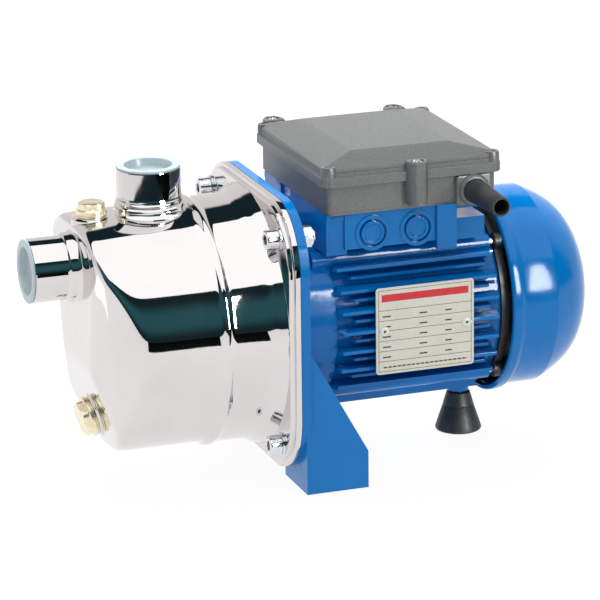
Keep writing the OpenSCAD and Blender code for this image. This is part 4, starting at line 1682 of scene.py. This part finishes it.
@dataclass(frozen=True)
class NamePlate:
    """Plain rating plate on two rivets."""

    shop: Shop
    repeat: Repeat
    x: Pair = (57.5, 125.7)
    z: Pair = (-29.5, 29.0)
    back: float = -70.6
    front: float = -71.3
    rivets: Pair = (63.3, 120.5)

    def make(self) -> None:
        """Builds the plate and its rivets."""
        shop, frame = self.shop, self.shop.frame
        panel = Panel(self.x, self.z, 2.2)
        steps = ((self.back, 0.0), (self.front + 0.15, 0.0), (self.front, -0.2))
        made = shop.loft("rating_plate", [upright(panel.ring(y, grow)) for y, grow in steps])
        middle = (sum(self.x) / 2 + frame.joint_x, sum(self.z) / 2 + frame.axle_z)
        half = ((self.x[1] - self.x[0]) / 2, (self.z[1] - self.z[0]) / 2)
        finish = RatingPlate("label_plate", (0.66, 0.645, 0.56), 0.0, 0.28, 0.05, 0.02, 14, 0.5,
                             0.004, centre=middle, half=half)
        shop.dress(made, "label_plate", replaces=("nameplate",), finish=finish)
        axle = Axle((0, 0, 0), (0, 0, 1), 40)
        profile = [(0.0, 0.1), (0.0, 3.3), (0.7, 3.25), (1.25, 2.7), (1.5, 1.9), (1.5, 1.15),
                   (1.0, 0.9), (-0.6, 0.8), (-0.6, 0.1)]
        bench = Shop(Frame(0.0, 0.0))
        rivet = bench.turned("rivet_template", axle, profile)
        height = sum(self.z) / 2
        spots = [(x, self.front, height) for x in self.rivets]
        heads = self.repeat.set_out(shop, "plate_rivet_heads", rivet, spots, [(0, -1, 0)] * 2,
                                    "white_plastic")
        shop.dress(heads, "white_plastic", replaces=("nameplate_rivets",))


# ----------------------------------------------------------------------------- studio


@dataclass(frozen=True)
class SoftBox:
    """A rectangular light, in metres."""

    name: str
    place: Spot
    aim: Spot
    size: Pair
    radiance: float
    mirrored: bool = True
    lit: bool = True

    def make(self) -> None:
        """Hangs the light; polished parts show it if mirrored, and matt ones are lit if lit."""
        data = bpy.data.lights.new(self.name, "AREA")
        data.shape = "RECTANGLE"
        data.size, data.size_y = self.size
        data.energy = self.radiance * math.pi * data.size * data.size_y
        light = placed(self.name, data)
        place = Vector(self.place)
        light.location = place
        light.rotation_euler = (Vector(self.aim) - place).to_track_quat("-Z", "Y").to_euler()
        light.visible_glossy = self.mirrored
        light.visible_diffuse = self.lit
        light.visible_camera = False


@dataclass(frozen=True)
class Card:
    """A level sheet that isn't part of the pump, in metres."""

    name: str
    x: Pair
    y: Pair
    z: float
    glow: float
    colour: Colour = (0.07, 0.07, 0.07)

    def make(self) -> bpy.types.Object:
        """Lays the sheet.

        Returns:
            The sheet.
        """
        mesh = bpy.data.meshes.new(self.name)
        corners = ((0, 0), (1, 0), (1, 1), (0, 1))
        mesh.from_pydata([(self.x[i], self.y[j], self.z) for i, j in corners], [], [(0, 1, 2, 3)])
        tree = Tree(bpy.data.materials.new(self.name))
        shader = tree.node("ShaderNodeBsdfPrincipled", {}, {
            "Base Color": rgba(self.colour), "Roughness": 0.9, "Specular IOR Level": 0.0,
            "Emission Color": (1.0, 1.0, 1.0, 1.0), "Emission Strength": self.glow})
        tree.end("ShaderNodeOutputMaterial", shader)
        mesh.materials.append(bpy.data.materials[self.name])
        made = placed(self.name, mesh)
        return made


@dataclass(frozen=True)
class Studio:
    """Pale floor, soft boxes and camera."""

    aim: Spot = (5.7, 0.0, 103.6)
    azimuth: float = -19.38
    height: float = 16.95
    roll: float = -0.74
    distance: float = 2360.1
    lens: float = 214.0
    dark: Colour = (0.010, 0.022, 0.028)
    teal: Colour = (0.026, 0.100, 0.118)
    rear: Colour = (0.86, 0.83, 0.82)
    fill: Colour = (0.50, 0.50, 0.51)
    behind: Pair = (-0.10, 0.10)
    rear_top: Pair = (35.0, 40.0)
    teal_from: Pair = (0.02, 0.24)
    teal_to: Pair = (0.38, 0.58)
    floor: Card = Card("floor", (-9.0, 9.0), (-9.0, 9.0), 0.0, 0.93)
    bright: Card = Card("bright_card", (-0.60, -0.40), (0.10, 0.24), 0.003, 1.3)
    unlit: Card = Card("dark_card", (-0.17, 9.0), (-9.0, -0.70), 0.004, 0.0,
                       (0.003, 0.004, 0.004))
    boxes: tuple[SoftBox, ...] = (
        SoftBox("overhead_box", (0.0, -0.46, 1.3), (0.0, -0.46, 0.0), (3.0, 1.84), 1.4),
        SoftBox("window_box", (0.80, -1.5, 0.665), (0.80, 0.0, 0.665), (0.48, 0.87), 30.0,
                lit=False),
        SoftBox("rear_fill", (0.45, 2.0, 1.5), (0.0, 0.0, 0.1), (1.6, 1.6), 15.0,
                mirrored=False),
    )

    def camera(self) -> None:
        """Places the camera."""
        turn, rise, tilt = (math.radians(a) for a in (self.azimuth, self.height, self.roll))
        back = Vector((math.sin(turn) * math.cos(rise), -math.cos(turn) * math.cos(rise),
                       math.sin(rise)))
        right = Vector((math.cos(turn), math.sin(turn), 0.0))
        up = back.cross(right)
        side = math.cos(tilt) * right + math.sin(tilt) * up
        top = math.cos(tilt) * up - math.sin(tilt) * right
        data = bpy.data.cameras.new("camera")
        data.lens = self.lens
        data.sensor_width = 36.0
        data.clip_end = 100.0
        camera = placed("camera", data)
        stand = Matrix.Translation(Vector(self.aim) * MM + back * self.distance * MM)
        camera.matrix_world = stand @ Matrix((side, top, back)).transposed().to_4x4()
        bpy.context.scene.camera = camera

    def world(self) -> None:
        """Even fill for matt surfaces, and dark and light walls for polished ones."""
        world = bpy.data.worlds.new("studio")
        bpy.context.scene.world = world
        tree = Tree(world)
        way = tree.axes(tree.place())
        rise = way[2]
        behind = way[1].step(*self.behind)
        start, stop = (math.sin(math.radians(angle)) for angle in self.rear_top)
        low = rise.step(start, stop, 1.0, 0.0)
        ahead = rise.step(*self.teal_from) * rise.step(*self.teal_to, 1.0, 0.0)
        front = tree.mix(ahead, rgba(self.dark), rgba(self.teal))
        mirrored = tree.mix(behind * low, front, rgba(self.rear))
        rays = tree.node("ShaderNodeLightPath", {}, {}, "Is Diffuse Ray")
        camera = Value(tree, rays.socket.node.outputs["Is Camera Ray"])
        seen = tree.mix(rays, mirrored, rgba(self.fill))
        seen = tree.mix(camera, seen, (1.0, 1.0, 1.0, 1.0))
        background = tree.node("ShaderNodeBackground", {}, {"Color": seen, "Strength": 1.0})
        tree.end("ShaderNodeOutputWorld", background)

    def make(self) -> None:
        """Builds the studio."""
        self.camera()
        self.world()
        self.floor.make()
        self.bright.make()
        card = self.unlit.make()
        card.visible_camera = card.visible_diffuse = card.visible_shadow = False
        card.visible_transmission = False
        for box in self.boxes:
            box.make()
        bpy.context.scene.view_settings.view_transform = "Standard"


# ------------------------------------------------------------------------------- main


def dress_frame(nodes: dict[str, bpy.types.Object], slots: Sequence[str]) -> None:
    """Gives every CAD node the finish of its slot.

    Args:
        nodes: the CAD nodes by name.
        slots: the record's slots.
    """
    special = {"rear_shield": "black_plastic", "fan": "black_plastic"}
    for name, node in nodes.items():
        found = [m.name.split(".")[0] for m in node.data.materials if m]
        slot = next((s for s in slots if s in found), "bare_casting")
        finish = FINISHES.get(special.get(name, slot), FINISHES["bare_casting"])
        node.data.materials.clear()
        node.data.materials.append(finish.make())
        LOG.info("CAD node %s: %s", name, finish.slot)


def main() -> None:
    """Builds the looks in order."""
    logging.basicConfig(level=logging.INFO, format="%(name)s: %(message)s")
    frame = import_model()
    Studio().make()
    dress_frame(frame["nodes"], [m["slot"] for m in frame["record"]["materials"]])
    shop = Shop(Frame.read())
    repeat = Repeat()
    Casing(shop).make()
    Port(shop, "suction", Axle((-121.0, 0, 45.0), (-1, 0, 0)), length=33.6, foot=(
        (-3.0, 25.0), (2.6, 25.2), (3.8, 24.0), (5.0, 23.1), (6.4, 22.6), (9.4, 22.5),
        (10.2, 22.2), (10.7, 21.6), (11.4, 21.1), (12.4, 21.0)), body=Body.SUCTION_CAP).make()
    Port(shop, "delivery", Axle((-72.0, 0, 75.5), (0, 0, 1)), length=31.0, foot=(
        (-4.5, 24.6), (1.4, 24.4), (2.4, 23.4), (3.4, 22.7), (4.4, 22.3), (5.4, 22.5),
        (6.3, 22.6), (7.0, 22.1), (7.5, 21.4), (8.1, 21.5), (8.8, 22.0), (9.4, 21.8),
        (10.0, 21.2), (10.5, 21.0), (11.1, 21.3), (11.7, 21.5), (12.3, 21.2), (13.0, 21.0)),
        body=Body.DELIVERY_CAP).make()
    Plug(shop, "priming", Axle((-110.7, 0, 77.6), (0, 0, 1)), Body.PRIMING_PLUG,
         boss=((-6.0, 7.0), (-6.0, 13.5), (-1.2, 13.2), (-0.7, 12.2), (-0.25, 11.4),
               (-0.02, 10.6), (-0.02, 7.0)),
         washer=9.6, washer_tall=1.4, collar=10.0, collar_tall=3.4, flat=16.5, hex_tall=4.4,
         stub=6.5, stub_long=8.6).make()
    Plug(shop, "drain", Axle((-114.2, 0, -57.6), (-0.965926, 0, -0.258819)), Body.DRAIN_PLUG,
         boss=((-6.0, 8.5), (-6.0, 15.6), (-1.6, 15.4), (-0.9, 14.8), (-0.3, 14.2),
               (-0.02, 13.4), (-0.02, 8.5)),
         washer=12.8, washer_tall=1.2, collar=13.4, collar_tall=2.6, flat=22.0, hex_tall=5.0,
         stub=8.0, stub_long=9.0).make()
    Fasteners(shop, repeat).make()
    Castings(shop).make()
    FanCover(shop).make()
    RubberFoot(shop).make()
    TerminalBox(shop, repeat).make()
    CableEntry(shop).make()
    NamePlate(shop, repeat).make()


if __name__ == "__main__":
    main()
